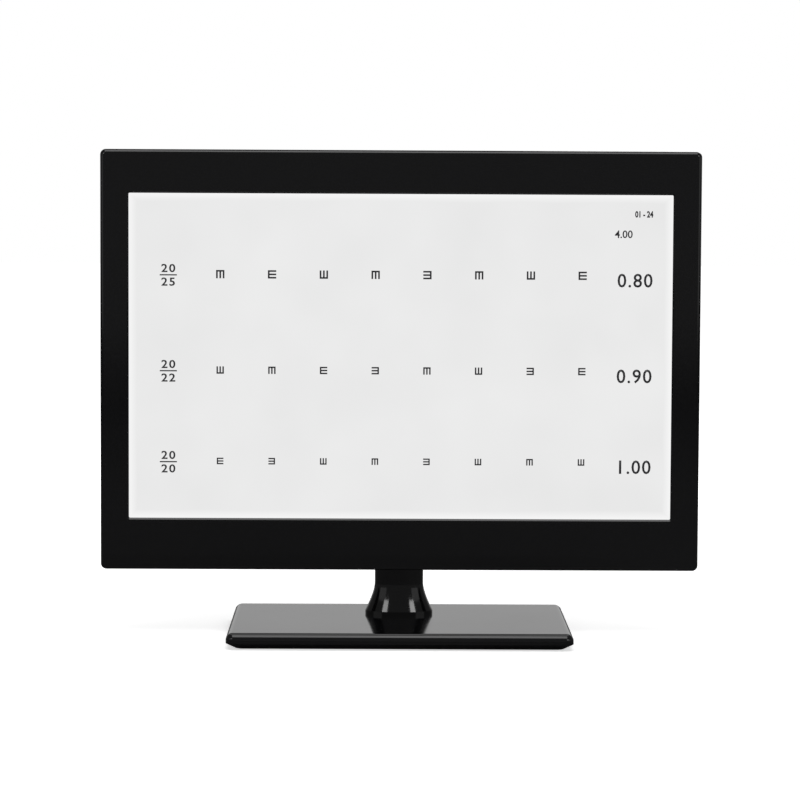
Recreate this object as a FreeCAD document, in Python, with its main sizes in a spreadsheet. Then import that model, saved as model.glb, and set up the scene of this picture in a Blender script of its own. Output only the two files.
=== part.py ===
"""LED eye chart display on a tilting pedestal stand, in millimetres.

The screen faces -Y, +X is to the viewer's right and +Z is up. The origin is on the table,
in the middle of the base.
"""

import FreeCAD, Part
import math
import os
import re

import Sketcher

Vector = FreeCAD.Vector
doc = FreeCAD.newDocument("eye_chart_display")

# Driving sizes
SIZES = {
    # Base: a moulded plate that stands on rubber pads, with a steel plate screwed inside
    "base_width": 297, "base_depth": 196, "base_height": 13.9, "base_corner": 7, "base_edge": 6,
    "skirt_height": 5, "skirt_inset": 8, "base_wall": 3, "floor_gap": 0.6,
    "ballast_thick": 4, "ballast_room": 0.8, "ballast_corner": 5, "boss_bore_extra": 1.2,
    "pad_radius": 8, "pad_height": 3.5, "pad_side_inset": 26.5, "pad_end_inset": 25,
    "boss_radius": 5, "boss_side_inset": 50.5, "boss_end_inset": 25,
    # Neck: an oval shell with a flared foot, round a steel upright
    "neck_offset": 34, "neck_width": 43, "neck_thick": 26, "neck_wall": 2.5,
    "foot_width": 60, "foot_thick": 36, "foot_lip": 3, "flare_height": 23.5, "flare_power": 1.45,
    "tube_width": 28, "tube_thick": 13, "tube_wall": 2, "tube_corner": 3,
    "flange_width": 48, "flange_thick": 29, "flange_height": 4,
    "neck_screw_across": 19, "neck_screw_along": 10.5, "seat_width": 62, "seat_thick": 46,
    # Hinge: the yoke stands on the upright, the bracket hangs on the display
    "hinge_reach": 46, "hinge_rise": 115, "pin_radius": 4, "pin_room": 0.05,
    "yoke_width": 24, "yoke_ear": 3, "yoke_plate": 3, "yoke_drop": 17, "neck_drop": 13.5,
    "washer_thick": 0.8, "washer_radius": 6.5, "washer_room": 0.05,
    "bracket_ear": 3, "bracket_radius": 9, "bracket_rise": 36, "bracket_width": 76,
    "bracket_height": 62, "bracket_thick": 2, "bracket_screw_across": 29, "bracket_screw_rise": 24,
    "bracket_screw_pitch": 20,
    "spring_thick": 1.2, "spring_radius": 8, "spring_dish": 0.5, "spring_rim": 1, "pin_tail": 1,
    "nut_across": 13, "nut_height": 5, "pin_head_radius": 7, "pin_head": 3,
    # Screen and its bezel
    "screen_width": 474.4, "screen_height": 284, "side_border": 24.8, "top_border": 38,
    "bottom_border": 45.4, "display_gap": 44,
    "bezel_wall": 2.6, "bezel_skirt": 2.4, "bezel_depth": 9, "bezel_corner": 5, "bezel_edge": 3.5,
    "window_corner": 1, "window_edge": 1.4, "lip_height": 13, "lip_depth": 1.4, "seam_edge": 0.4,
    "post_radius": 4, "post_length": 12.2, "post_side": 30, "post_inset": 14.5, "post_floor": 2,
    "over_cut": 1,
    # Panel layers, from the bezel back
    "gasket_thick": 0.8, "gasket_reach": 9, "gasket_room": 0.8, "gasket_corner": 1,
    "frame_thick": 0.8, "frame_reach": 10, "frame_room": 1.5, "frame_corner": 1.2,
    "cell_thick": 1.6, "cell_reach": 3.4, "sheet_thick": 0.8, "sheet_corner": 0.5,
    "guide_thick": 3, "guide_reach": 3, "reflector_thick": 0.4, "tray_thick": 0.8,
    "tray_corner": 1, "layer_room": 0.2, "led_room": 4.2, "led_strip": 1, "led_strip_width": 2.8,
    "led_length": 5, "led_width": 2.2, "led_height": 1.4, "led_corner": 0.3, "led_margin": 7,
    "led_count": 36, "driver_width": 260, "driver_height": 14, "driver_thick": 1,
    "ribbon_width": 24, "ribbon_thick": 0.4, "ribbon_overlap": 5,
    # Carrier plate and its boards
    "carrier_gap": 1.2, "carrier_thick": 1.2, "carrier_width": 290, "carrier_height": 214,
    "carrier_rise": 10, "carrier_foot": 8, "carrier_foot_across": 128, "carrier_foot_along": 92,
    "board_lift": 10.8, "spacer_radius": 3, "spacer_floor": 2, "board_thick": 1.6,
    "board_width": 90, "board_height": 106, "board_centre": 86, "board_rise": 4.5,
    "board_inset": 5, "board_corner": 2, "chip_corner": 0.8, "board_screw_grip": 5,
    "cooler_side": 30, "cooler_thick": 2, "fin_thick": 2, "fin_length": 28, "fin_height": 11,
    "fin_pitch": 7,
    # Rear cover
    "cover_depth": 22, "cover_straight": 4, "cover_slope": 14, "cover_wall": 2.5,
    "hump_width": 290, "hump_top_width": 250, "hump_height": 222, "hump_top_height": 200,
    "hump_depth": 48, "hump_corner": 16, "hump_drop": 15.5, "hump_edge": 2.2, "cover_edge": 1.2,
    "throat_side": 1.5, "throat_front": 3.5, "throat_back": 5.8, "throat_corner": 14,
    "slot_width": 3, "slot_height": 14, "slot_pitch": 7.5, "slot_count": 25, "slot_drop": 10,
    "slot_flat": 0.01,
    "well_radius": 5.5, "well_floor": 2.2, "cover_screw_head": 3, "cover_screw_head_height": 2,
    "cover_screw_radius": 1.5, "cover_screw_length": 7, "screw_room": 0.2, "thread_room": 0.05,
    "wall_pitch": 100, "wall_recess": 116, "wall_recess_depth": 1.5, "wall_backing": 124,
    "wall_corner": 3, "insert_radius": 3.5, "insert_bore": 2, "insert_length": 10,
    "insert_floor": 2, "wall_boss_radius": 5.5,
    # Sockets in the underside of the rear cover
    "inlet_centre": -95, "inlet_back": 46, "inlet_width": 27.4, "inlet_thick": 19.8,
    "inlet_height": 24, "inlet_corner": 1, "inlet_flange": 1.8, "inlet_flange_corner": 2,
    "inlet_flange_thick": 2, "mouth_width": 24,
    "mouth_thick": 16.4, "mouth_depth": 20, "mouth_bevel": 4.5, "blade_width": 2, "blade_thick": 4,
    "blade_length": 15.5, "blade_spacing": 7, "blade_offset": 2,
    "socket_room": 0.3, "socket_rise": 0.4, "socket_corner": 0.6, "socket_wall": 0.5,
    "socket_floor": 1.5, "tongue_side": 1.5, "tongue_set_back": 1, "tongue_corner": 0.3,
    "hdmi_tongue": 1, "usb_tongue": 1.8,
    "hdmi_centre": 58, "hdmi_width": 15, "hdmi_thick": 5.6, "hdmi_height": 12,
    "usb_centre": 80, "usb_width": 13.2, "usb_thick": 5.8, "usb_height": 14,
    "vga_centre": 106, "vga_width": 16.6, "vga_thick": 8.2, "vga_reach": 5.9,
    "vga_flange_width": 30.8, "vga_height": 10,
    # Keys on the back, by the viewer's right edge
    "key_side": 36, "key_lowest": 36, "key_pitch": 15, "key_width": 6, "key_height": 9,
    "key_corner": 0.9, "key_edge": 0.5, "key_proud": 1, "key_room": 0.3,
    "key_flange": 0.9, "key_flange_reach": 1.2, "key_stem_radius": 1.5, "key_stem": 0.8,
    "key_gap": 0.5, "key_plunger": 0.5, "switch_height": 2.6, "switch_width": 6,
    "switch_corner": 0.5, "key_board_width": 16, "key_board_thick": 1.2, "key_board_margin": 16,
    "key_board_corner": 1, "key_post_inset": 5, "key_screw_grip": 4, "key_screw_head_height": 1.2,
    # Remote control receiver under the lower rail
    "receiver_side": 66, "receiver_back": 6.2, "lens_width": 13.8, "lens_depth": 3.8,
    "lens_corner": 0.5, "lens_room": 0.1, "ledge_reach": 1.1, "ledge_thick": 1,
    "sensor_height": 7, "sensor_depth": 5, "sensor_width": 6, "sensor_corner": 1,
    "sensor_gap": 0.2, "card_width": 22, "card_depth": 9, "card_thick": 1, "card_corner": 0.5,
    # Small screws
    "screw_radius": 1.5, "screw_head": 3, "screw_head_height": 2,
    "neck_screw_radius": 2, "neck_screw_head": 3.6, "neck_screw_head_height": 2.4,
}

# Places worked out from the sizes: Y runs back from the front face, Z up from the table
PLACES = {
    "base_top": "floor_gap + base_height",
    "cavity_top": "base_top - base_wall",
    "ballast_top": "pad_height + ballast_thick",
    "cavity_width": "base_width - 2 * (skirt_inset + base_wall)",
    "cavity_depth": "base_depth - 2 * (skirt_inset + base_wall)",
    "pad_across": "base_width / 2 - pad_side_inset",
    "pad_along": "base_depth / 2 - pad_end_inset",
    "boss_across": "base_width / 2 - boss_side_inset",
    "boss_along": "base_depth / 2 - boss_end_inset",
    "upright_foot": "base_top + flange_height",
    "face": "neck_offset - hinge_reach",
    "hinge_level": "base_top + hinge_rise",
    "tube_top": "hinge_level - yoke_drop - yoke_plate",
    "neck_top": "hinge_level - neck_drop",
    "ear_start": "yoke_width / 2 + washer_room + washer_thick",
    "ear_end": "ear_start + bracket_ear",
    "display_low": "base_top + display_gap",
    "display_width": "screen_width + 2 * side_border",
    "display_height": "screen_height + top_border + bottom_border",
    "display_level": "display_low + display_height / 2",
    "display_high": "display_low + display_height",
    "screen_low": "display_low + bottom_border",
    "screen_level": "screen_low + screen_height / 2",
    "gasket_front": "face + bezel_wall",
    "frame_front": "gasket_front + gasket_thick",
    "cell_front": "frame_front + frame_thick",
    "sheet_front": "cell_front + cell_thick",
    "guide_front": "sheet_front + sheet_thick",
    "reflector_front": "guide_front + guide_thick",
    "tray_front": "reflector_front + reflector_thick",
    "tray_back": "tray_front + tray_thick",
    "frame_width": "screen_width + 2 * frame_reach",
    "frame_height": "screen_height + 2 * frame_reach",
    "mould_width": "frame_width - 2 * (frame_thick + layer_room)",
    "mould_height": "frame_height - 2 * (frame_thick + layer_room)",
    "guide_low": "screen_low - guide_reach",
    "carrier_front": "tray_back + carrier_gap",
    "carrier_back": "carrier_front + carrier_thick",
    "carrier_low": "hump_low + carrier_rise",
    "carrier_level": "carrier_low + carrier_height / 2",
    "board_front": "carrier_back + board_lift",
    "board_back": "board_front + board_thick",
    "board_low": "hump_low + board_rise",
    "cover_front": "face + bezel_depth",
    "cover_bend": "cover_front + cover_straight",
    "cover_back": "face + cover_depth",
    "hump_low": "hinge_level - hump_drop",
    "hump_back": "cover_back + hump_depth",
    "hump_floor": "hump_low + cover_wall",
    "inlet_y": "face + inlet_back",
    "key_centre": "display_width / 2 - key_side",
    "key_level": "display_low + key_lowest",
    "key_flange_back": "cover_back - cover_wall - key_room",
    "key_stem_end": "key_flange_back - key_flange - key_stem",
    "key_switch_back": "key_stem_end - key_gap - key_plunger",
    "key_board_back": "key_switch_back - switch_height",
    "post_across": "display_width / 2 - post_side",
    "post_high": "display_high - post_inset",
    "post_low": "display_low + post_inset",
    "post_end": "face + bezel_wall + post_length",
    "insert_back": "hump_back - wall_recess_depth",
    "boss_height": "cavity_top - ballast_top",
    "receiver_centre": "display_width / 2 - receiver_side",
    "receiver_y": "face + receiver_back",
    "sensor_low": "display_low + bezel_skirt + ledge_thick + sensor_gap",
    "sensor_front": "face + bezel_wall + sensor_gap",
}

sheet = doc.addObject("Spreadsheet::Sheet", "Sizes")
for row, (name, size) in enumerate(SIZES.items(), 1):
    sheet.set(f"A{row}", name.replace("_", " "))
    sheet.set(f"B{row}", str(size))
    sheet.setAlias(f"B{row}", name)
doc.recompute()


def bound(words):
    """A size given in plain words, as an expression on the sheet."""

    def term(match):
        word = match.group(0)
        if word in PLACES:
            return f"({bound(PLACES[word])})"
        return f"Sizes.{word}" if word in SIZES else word

    return re.sub(r"[a-z][a-z_]*", term, str(words))


def value(words):
    return float(sheet.evalExpression(bound(words)))


pieces = []


def piece(item):
    """Keep a finished object as a sub-part, labelled with its own name."""
    item.Label = item.Name
    pieces.append(item)
    return item


# Part primitives and booleans

TURNS = {
    "+z": FreeCAD.Rotation(),
    "-z": FreeCAD.Rotation(Vector(1, 0, 0), 180),
    "+y": FreeCAD.Rotation(Vector(1, 0, 0), -90),
    "-y": FreeCAD.Rotation(Vector(1, 0, 0), 90),
    "+x": FreeCAD.Rotation(Vector(0, 1, 0), 90),
    "-x": FreeCAD.Rotation(Vector(0, 1, 0), -90),
}


def put(item, at, way="+z"):
    item.Placement = FreeCAD.Placement(Vector(), TURNS[way])
    for axis, words in zip("xyz", at):
        item.setExpression(f"Placement.Base.{axis}", bound(words))
    return item


def box(name, low, size):
    item = doc.addObject("Part::Box", name)
    for prop, words in zip(("Length", "Width", "Height"), size):
        item.setExpression(prop, bound(words))
    return put(item, low)


def rod(name, at, way, radius, length):
    item = doc.addObject("Part::Cylinder", name)
    item.setExpression("Radius", bound(radius))
    item.setExpression("Height", bound(length))
    return put(item, at, way)


def join(name, parts):
    item = doc.addObject("Part::MultiFuse", name)
    item.Shapes = parts
    return item


def cut(name, base, tool):
    item = doc.addObject("Part::Cut", name)
    item.Base = base
    item.Tool = tool
    return item


def group(name, parts):
    item = doc.addObject("Part::Compound", name)
    item.Links = parts
    return item


def shifted(at, way, distance):
    """The point that lies a distance from another along an axis."""
    point = list(at)
    axis = "xyz".index(way[1])
    point[axis] = f"({point[axis]}) {way[0]} ({distance})"
    return tuple(point)


def screw(name, at, way, radius, length, head_radius, head_height):
    """A screw whose head rests on a point and whose shank runs on from there."""
    shank = rod(name + "_shank", at, way, radius, length)
    back = ("-" if way[0] == "+" else "+") + way[1]
    head = rod(name + "_head", shifted(at, back, head_height), way, head_radius, head_height)
    return join(name, [head, shank])


# PartDesign bodies

# The role of each origin plane, and whether a sketch on it faces up its axis (1) or down (-1)
PLANES = {"front": ("XZ_Plane", -1), "floor": ("XY_Plane", 1), "side": ("YZ_Plane", 1)}


def body(name):
    return doc.addObject("PartDesign::Body", name)


def sketch(owner, name, plane, at, across="0", up="0"):
    """An empty sketch parallel to an origin plane, through a given place."""
    role, sign = PLANES[plane]
    item = owner.newObject("Sketcher::SketchObject", f"{owner.Name}_{name}")
    origin = next(f for f in owner.Origin.OriginFeatures if f.Role == role)
    item.AttachmentSupport = [(origin, "")]
    item.MapMode = "FlatFace"
    item.setExpression("AttachmentOffset.Base.x", bound(across))
    item.setExpression("AttachmentOffset.Base.y", bound(up))
    item.setExpression("AttachmentOffset.Base.z", bound(at if sign > 0 else f"-({at})"))
    return item


def measure(item, kind, references, words):
    number = item.addConstraint(Sketcher.Constraint(kind, *references, value(words)))
    item.setExpression(f"Constraints[{number}]", bound(words))


def rounded(owner, name, plane, at, width, height, corner, across="0", up="0"):
    """A rectangle with round corners, centred on a given point."""
    item = sketch(owner, name, plane, at, across, up)
    half, tall, r = value(width) / 2, value(height) / 2, value(corner)
    x, y = half - r, tall - r
    item.addGeometry(
        [
            Part.LineSegment(Vector(-x, -tall), Vector(x, -tall)),
            Part.LineSegment(Vector(half, -y), Vector(half, y)),
            Part.LineSegment(Vector(x, tall), Vector(-x, tall)),
            Part.LineSegment(Vector(-half, y), Vector(-half, -y)),
        ],
        False,
    )
    for cx, cy, start in ((x, -y, -90), (x, y, 0), (-x, y, 90), (-x, -y, 180)):
        circle = Part.Circle(Vector(cx, cy), Vector(0, 0, 1), r)
        arc = Part.ArcOfCircle(circle, math.radians(start), math.radians(start + 90))
        item.addGeometry(arc, False)
    rules = [("Horizontal", 0), ("Horizontal", 2), ("Vertical", 1), ("Vertical", 3)]
    rules += [("Equal", 4, 5), ("Equal", 4, 6), ("Equal", 4, 7)]
    for line in range(4):
        rules += [("Tangent", line, 2, 4 + line, 1), ("Tangent", 4 + line, 2, (line + 1) % 4, 1)]
    rules.append(("Symmetric", 4, 3, 6, 3, -1, 1))
    item.addConstraint([Sketcher.Constraint(*rule) for rule in rules])
    measure(item, "DistanceX", (3, 1, 1, 1), width)
    measure(item, "DistanceY", (0, 1, 2, 1), height)
    measure(item, "Radius", (4,), corner)
    return item


def outline(owner, name, plane, at, corners, across="0", up="0"):
    """A closed outline with straight sides, its corners given in words."""
    item = sketch(owner, name, plane, at, across, up)
    points = [Vector(value(a), value(b)) for a, b in corners]
    count = len(points)
    for i in range(count):
        item.addGeometry(Part.LineSegment(points[i], points[(i + 1) % count]), False)
    for i in range(count):
        item.addConstraint(Sketcher.Constraint("Coincident", i, 2, (i + 1) % count, 1))
    for i, corner in enumerate(corners):
        for kind, words in zip(("DistanceX", "DistanceY"), corner):
            measure(item, kind, (-1, 1, i, 1), words)
    return item


def circles(owner, name, plane, at, centres, radius):
    item = sketch(owner, name, plane, at)
    for i, centre in enumerate(centres):
        point = Vector(value(centre[0]), value(centre[1]))
        item.addGeometry(Part.Circle(point, Vector(0, 0, 1), value(radius)), False)
        for kind, words in zip(("DistanceX", "DistanceY"), centre):
            measure(item, kind, (-1, 1, i, 3), words)
        measure(item, "Radius", (i,), radius)
    return item


def oval(owner, name, at, width, thick):
    """An ellipse round the neck's axis, wide across X."""
    item = sketch(owner, name, "floor", at, "0", "neck_offset")
    half, deep = value(width) / 2, value(thick) / 2
    item.addGeometry(Part.Ellipse(Vector(half, 0), Vector(0, deep), Vector(0, 0)), False)
    item.exposeInternalGeometry(0)
    item.addConstraint(Sketcher.Constraint("Coincident", 0, 3, -1, 1))
    item.addConstraint(Sketcher.Constraint("Horizontal", 1))
    measure(item, "Distance", (1,), width)
    measure(item, "Distance", (2,), thick)
    return item


def grow(owner, profile, length, way):
    """Pad a profile along + or - its axis."""
    item = owner.newObject("PartDesign::Pad", profile.Name + "_pad")
    item.Profile = profile
    item.Reversed = (way == "-") == (normal_of(profile) > 0)
    item.setExpression("Length", bound(length))
    return item


def hollow(owner, profile, length, way):
    """Cut a profile along + or - its axis."""
    item = owner.newObject("PartDesign::Pocket", profile.Name + "_pocket")
    item.Profile = profile
    item.Reversed = (way == "+") == (normal_of(profile) > 0)
    item.setExpression("Length", bound(length))
    return item


def normal_of(profile):
    role = profile.AttachmentSupport[0][0].Role
    return next(sign for plane, sign in PLANES.values() if plane == role)


def loft(owner, profiles, kind="Additive", ruled=True):
    item = owner.newObject(f"PartDesign::{kind}Loft", profiles[0].Name + "_loft")
    item.Profile = profiles[0]
    item.Sections = profiles[1:]
    item.Ruled = ruled
    return item


def on_plane(feature, axis, level):
    """Names of the edges of a feature that lie in a plane square to an axis."""
    doc.recompute()
    level = value(level)
    names = []
    for number, edge in enumerate(feature.Shape.Edges, 1):
        low, high = edge.BoundBox.getPoint(0), edge.BoundBox.getPoint(6)
        if abs(low[axis] - level) < 1e-4 and abs(high[axis] - level) < 1e-4:
            names.append(f"Edge{number}")
    return names


def dress(owner, kind, feature, edges, size):
    """Fillet or chamfer some edges of the last feature of a body."""
    item = owner.newObject(f"PartDesign::{kind}", f"{feature.Name}_{kind.lower()}")
    item.Base = (feature, edges)
    item.setExpression("Radius" if kind == "Fillet" else "Size", bound(size))
    return item


def plate(name, front, thick, width, height, corner, level, centre="0"):
    """A flat upright plate with round corners, as a body."""
    item = body(name)
    profile = rounded(item, "plate", "front", front, width, height, corner, centre, level)
    grow(item, profile, thick, "+")
    return item


def frame(name, front, thick, outer, inner, corner, level):
    """A flat upright plate with a window in it; outer and inner are width and height."""
    item = plate(name, front, thick, outer[0], outer[1], corner, level)
    window = rounded(item, "window", "front", front, inner[0], inner[1], corner, "0", level)
    hollow(item, window, thick, "+")
    return item


SIDES = (-1, 1)

# Base cover: flat plate with a rounded top edge, a skirt that slopes in to the table, and bosses
base_cover = piece(body("base_cover"))
band = rounded(base_cover, "band", "floor", "floor_gap + skirt_height", "base_width", "base_depth",
               "base_corner")
band_pad = grow(base_cover, band, "base_height - skirt_height", "+")
dress(base_cover, "Fillet", band_pad, on_plane(band_pad, 2, "base_top"), "base_edge")
skirt = [
    rounded(base_cover, "skirt_top", "floor", "floor_gap + skirt_height", "base_width",
            "base_depth", "base_corner"),
    rounded(base_cover, "skirt_foot", "floor", "floor_gap", "base_width - 2 * skirt_inset",
            "base_depth - 2 * skirt_inset", "base_corner"),
]
loft(base_cover, skirt)
cavity = rounded(base_cover, "cavity", "floor", "floor_gap", "cavity_width", "cavity_depth",
                 "ballast_corner + ballast_room")
hollow(base_cover, cavity, "base_height - base_wall", "+")
base_points = [(f"{i} * boss_across", f"{j} * boss_along") for i in SIDES for j in SIDES]
bosses = circles(base_cover, "bosses", "floor", "ballast_top", base_points, "boss_radius")
grow(base_cover, bosses, "boss_height", "+")
seat = rounded(base_cover, "seat", "floor", "ballast_top", "seat_width", "seat_thick",
               "boss_radius", "0", "neck_offset")
grow(base_cover, seat, "boss_height", "+")
boss_bores = circles(base_cover, "boss_bores", "floor", "ballast_top", base_points,
                     "screw_radius + thread_room")
hollow(base_cover, boss_bores, "boss_height + boss_bore_extra", "+")
neck_points = [(f"{i} * neck_screw_across", "neck_offset") for i in SIDES]
neck_points += [("0", f"neck_offset + {i} * neck_screw_along") for i in SIDES]
seat_holes = circles(base_cover, "seat_holes", "floor", "ballast_top", neck_points,
                     "neck_screw_radius + screw_room")
hollow(base_cover, seat_holes, "base_top - ballast_top", "+")

# Ballast: steel plate that fills the cavity and carries the pads
ballast = piece(body("base_ballast"))
ballast_outline = rounded(ballast, "plate", "floor", "pad_height",
                          "cavity_width - 2 * ballast_room", "cavity_depth - 2 * ballast_room",
                          "ballast_corner")
grow(ballast, ballast_outline, "ballast_thick", "+")
for points, hole in ((base_points, "screw_radius"), (neck_points, "neck_screw_radius")):
    holes = circles(ballast, "holes_" + hole[:4], "floor", "pad_height", points,
                    hole + " + screw_room")
    hollow(ballast, holes, "ballast_thick", "+")

pads = [
    rod(f"pad_{i}_{j}".replace("-", "m"), (f"{i} * pad_across", f"{j} * pad_along", "0"), "+z",
        "pad_radius", "pad_height")
    for i in SIDES for j in SIDES
]
piece(group("base_pads", pads))

piece(group("base_screws", [
    screw(f"base_screw_{i}", (x, y, "pad_height"), "+z", "screw_radius",
          "ballast_thick + boss_height", "screw_head", "screw_head_height")
    for i, (x, y) in enumerate(base_points)
]))
piece(group("neck_screws", [
    screw(f"neck_screw_{i}", (x, y, "pad_height"), "+z", "neck_screw_radius",
          "upright_foot - pad_height", "neck_screw_head", "neck_screw_head_height")
    for i, (x, y) in enumerate(neck_points)
]))

# Neck shell: oval column whose foot flares out in a hollow curve over a short upright lip
FLARE_STEPS = (0, 0.25, 0.5, 0.75, 1)


def flare(owner, name, less):
    """Sections of the flare, each smaller than the neck's outside by twice less."""
    sections = []
    for i, step in enumerate(FLARE_STEPS):
        spread = f"{1 - step} ^ flare_power"
        width = f"neck_width + (foot_width - neck_width) * {spread} - 2 * {less}"
        thick = f"neck_thick + (foot_thick - neck_thick) * {spread} - 2 * {less}"
        level = f"base_top + foot_lip + {step} * flare_height"
        sections.append(oval(owner, f"{name}_{i}", level, width, thick))
    return sections


neck_shell = piece(body("neck_shell"))
lip = oval(neck_shell, "lip", "base_top", "foot_width", "foot_thick")
grow(neck_shell, lip, "foot_lip", "+")
loft(neck_shell, flare(neck_shell, "flare", "0"), ruled=False)
column = oval(neck_shell, "column", "base_top + foot_lip + flare_height", "neck_width",
              "neck_thick")
grow(neck_shell, column, "neck_top - (base_top + foot_lip + flare_height)", "+")
lip_bore = oval(neck_shell, "lip_bore", "base_top", "foot_width - 2 * neck_wall",
                "foot_thick - 2 * neck_wall")
hollow(neck_shell, lip_bore, "foot_lip", "+")
loft(neck_shell, flare(neck_shell, "bore", "neck_wall"), "Subtractive", ruled=False)
column_bore = oval(neck_shell, "column_bore", "base_top + foot_lip + flare_height",
                   "neck_width - 2 * neck_wall", "neck_thick - 2 * neck_wall")
hollow(neck_shell, column_bore, "neck_top - (base_top + foot_lip + flare_height)", "+")

# Upright: steel tube on an oval flange, with tapped holes for the neck screws
upright = piece(body("neck_upright"))
flange = oval(upright, "flange", "base_top", "flange_width", "flange_thick")
grow(upright, flange, "flange_height", "+")
tube = rounded(upright, "tube", "floor", "upright_foot", "tube_width", "tube_thick",
               "tube_corner", "0", "neck_offset")
grow(upright, tube, "tube_top - upright_foot", "+")
tube_bore = rounded(upright, "tube_bore", "floor", "base_top", "tube_width - 2 * tube_wall",
                    "tube_thick - 2 * tube_wall", "tube_corner - tube_wall", "0", "neck_offset")
hollow(upright, tube_bore, "tube_top - base_top", "+")
taps = circles(upright, "taps", "floor", "base_top", neck_points,
               "neck_screw_radius + thread_room")
hollow(upright, taps, "flange_height", "+")

# Hinge yoke: a plate welded on the upright, with two ears that hold the pin
hinge_at = ("neck_offset", "hinge_level")
yoke_plate = box("yoke_foot", ("-yoke_width / 2", "neck_offset - tube_thick / 2", "tube_top"),
                 ("yoke_width", "tube_thick", "yoke_plate"))
yoke_parts = [yoke_plate]
for side in SIDES:
    start = "yoke_width / 2 - yoke_ear" if side > 0 else "-yoke_width / 2"
    tag = "right" if side > 0 else "left"
    yoke_parts.append(box(f"yoke_ear_{tag}", (start, "neck_offset - tube_thick / 2",
                                              "tube_top + yoke_plate"),
                          ("yoke_ear", "tube_thick", "yoke_drop")))
    yoke_parts.append(rod(f"yoke_round_{tag}", (start, *hinge_at), "+x", "tube_thick / 2",
                          "yoke_ear"))
yoke_bore = rod("yoke_bore", ("-yoke_width", *hinge_at), "+x", "pin_radius + pin_room",
                "2 * yoke_width")
piece(cut("hinge_yoke", join("yoke_blank", yoke_parts), yoke_bore))

# Hinge bracket: a plate on the carrier with two gusseted ears outside the yoke
bracket = piece(body("hinge_bracket"))
bracket_plate = rounded(bracket, "plate", "front", "carrier_back", "bracket_width",
                        "bracket_height", "tube_corner", "0",
                        "hinge_level - bracket_radius + bracket_height / 2")
grow(bracket, bracket_plate, "bracket_thick", "+")
for start, way in (("ear_start", "+"), ("-ear_start", "-")):
    tag = "right" if way == "+" else "left"
    web = outline(bracket, f"web_{tag}", "side", start, [
        ("carrier_back + bracket_thick", "hinge_level - bracket_radius"),
        ("neck_offset", "hinge_level - bracket_radius"),
        ("neck_offset", "hinge_level + bracket_radius"),
        ("carrier_back + bracket_thick", "hinge_level + bracket_rise"),
    ])
    grow(bracket, web, "bracket_ear", way)
    eye = circles(bracket, f"eye_{tag}", "side", start, [hinge_at], "bracket_radius")
    grow(bracket, eye, "bracket_ear", way)
    eye_bore = circles(bracket, f"eye_bore_{tag}", "side", start, [hinge_at],
                       "pin_radius + pin_room")
    hollow(bracket, eye_bore, "bracket_ear", way)
bracket_points = [
    (f"{i} * bracket_screw_across", f"hinge_level + bracket_screw_rise + {j} * bracket_screw_pitch")
    for i in SIDES for j in (0, 1)
]
bracket_holes = circles(bracket, "holes", "front", "carrier_back", bracket_points,
                        "neck_screw_radius + screw_room")
hollow(bracket, bracket_holes, "bracket_thick", "+")
piece(group("bracket_screws", [
    screw(f"bracket_screw_{i}", (x, "carrier_back + bracket_thick", z), "-y",
          "neck_screw_radius", "bracket_thick + carrier_thick", "neck_screw_head",
          "neck_screw_head_height")
    for i, (x, z) in enumerate(bracket_points)
]))

pin_start = "-(ear_end + pin_head)"
pin_end = "ear_end + 2 * (spring_thick + spring_dish) + nut_height + pin_tail"
piece(join("hinge_pin", [
    rod("pin_head_disc", (pin_start, *hinge_at), "+x", "pin_head_radius", "pin_head"),
    rod("pin_shank", ("-ear_end", *hinge_at), "+x", "pin_radius", f"ear_end + {pin_end}"),
]))
washers = []
for tag, start in (("right", "yoke_width / 2 + washer_room"), ("left", "-ear_start")):
    disc = rod(f"washer_disc_{tag}", (start, *hinge_at), "+x", "washer_radius", "washer_thick")
    bore = rod(f"washer_bore_{tag}", (start, *hinge_at), "+x", "pin_radius + pin_room",
               "washer_thick")
    washers.append(cut(f"washer_{tag}", disc, bore))
piece(group("friction_washers", washers))

# Disc springs: two dished rings under the nut, rim to rim
springs = piece(body("disc_springs"))
spring_mid = "ear_end + spring_thick + spring_dish"
inner = "pin_radius + pin_room"
ring_profile = outline(springs, "ring", "floor", "hinge_level", [
    ("ear_end", inner), ("ear_end + spring_dish", "spring_radius"),
    (spring_mid, "spring_radius"), (f"{spring_mid} + spring_thick", "spring_radius"),
    (f"{spring_mid} + spring_thick + spring_dish", inner),
    (f"{spring_mid} + spring_dish", inner), (spring_mid, "spring_radius - spring_rim"),
    ("ear_end + spring_thick", inner),
], "0", "neck_offset")
spring_turn = springs.newObject("PartDesign::Revolution", "spring_turn")
spring_turn.Profile = ring_profile
spring_turn.ReferenceAxis = (ring_profile, ["H_Axis"])
spring_turn.Angle = 360

nut = doc.addObject("Part::Prism", "nut_blank")
nut.Polygon = 6
nut.setExpression("Circumradius", bound("nut_across / 2 / cos(30 deg)"))
nut.setExpression("Height", bound("nut_height"))
nut_start = "ear_end + 2 * (spring_thick + spring_dish)"
put(nut, (nut_start, *hinge_at), "+x")
piece(cut("hinge_nut", nut, rod("nut_bore", (nut_start, *hinge_at), "+x",
                                "pin_radius + thread_room", "nut_height")))

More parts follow.
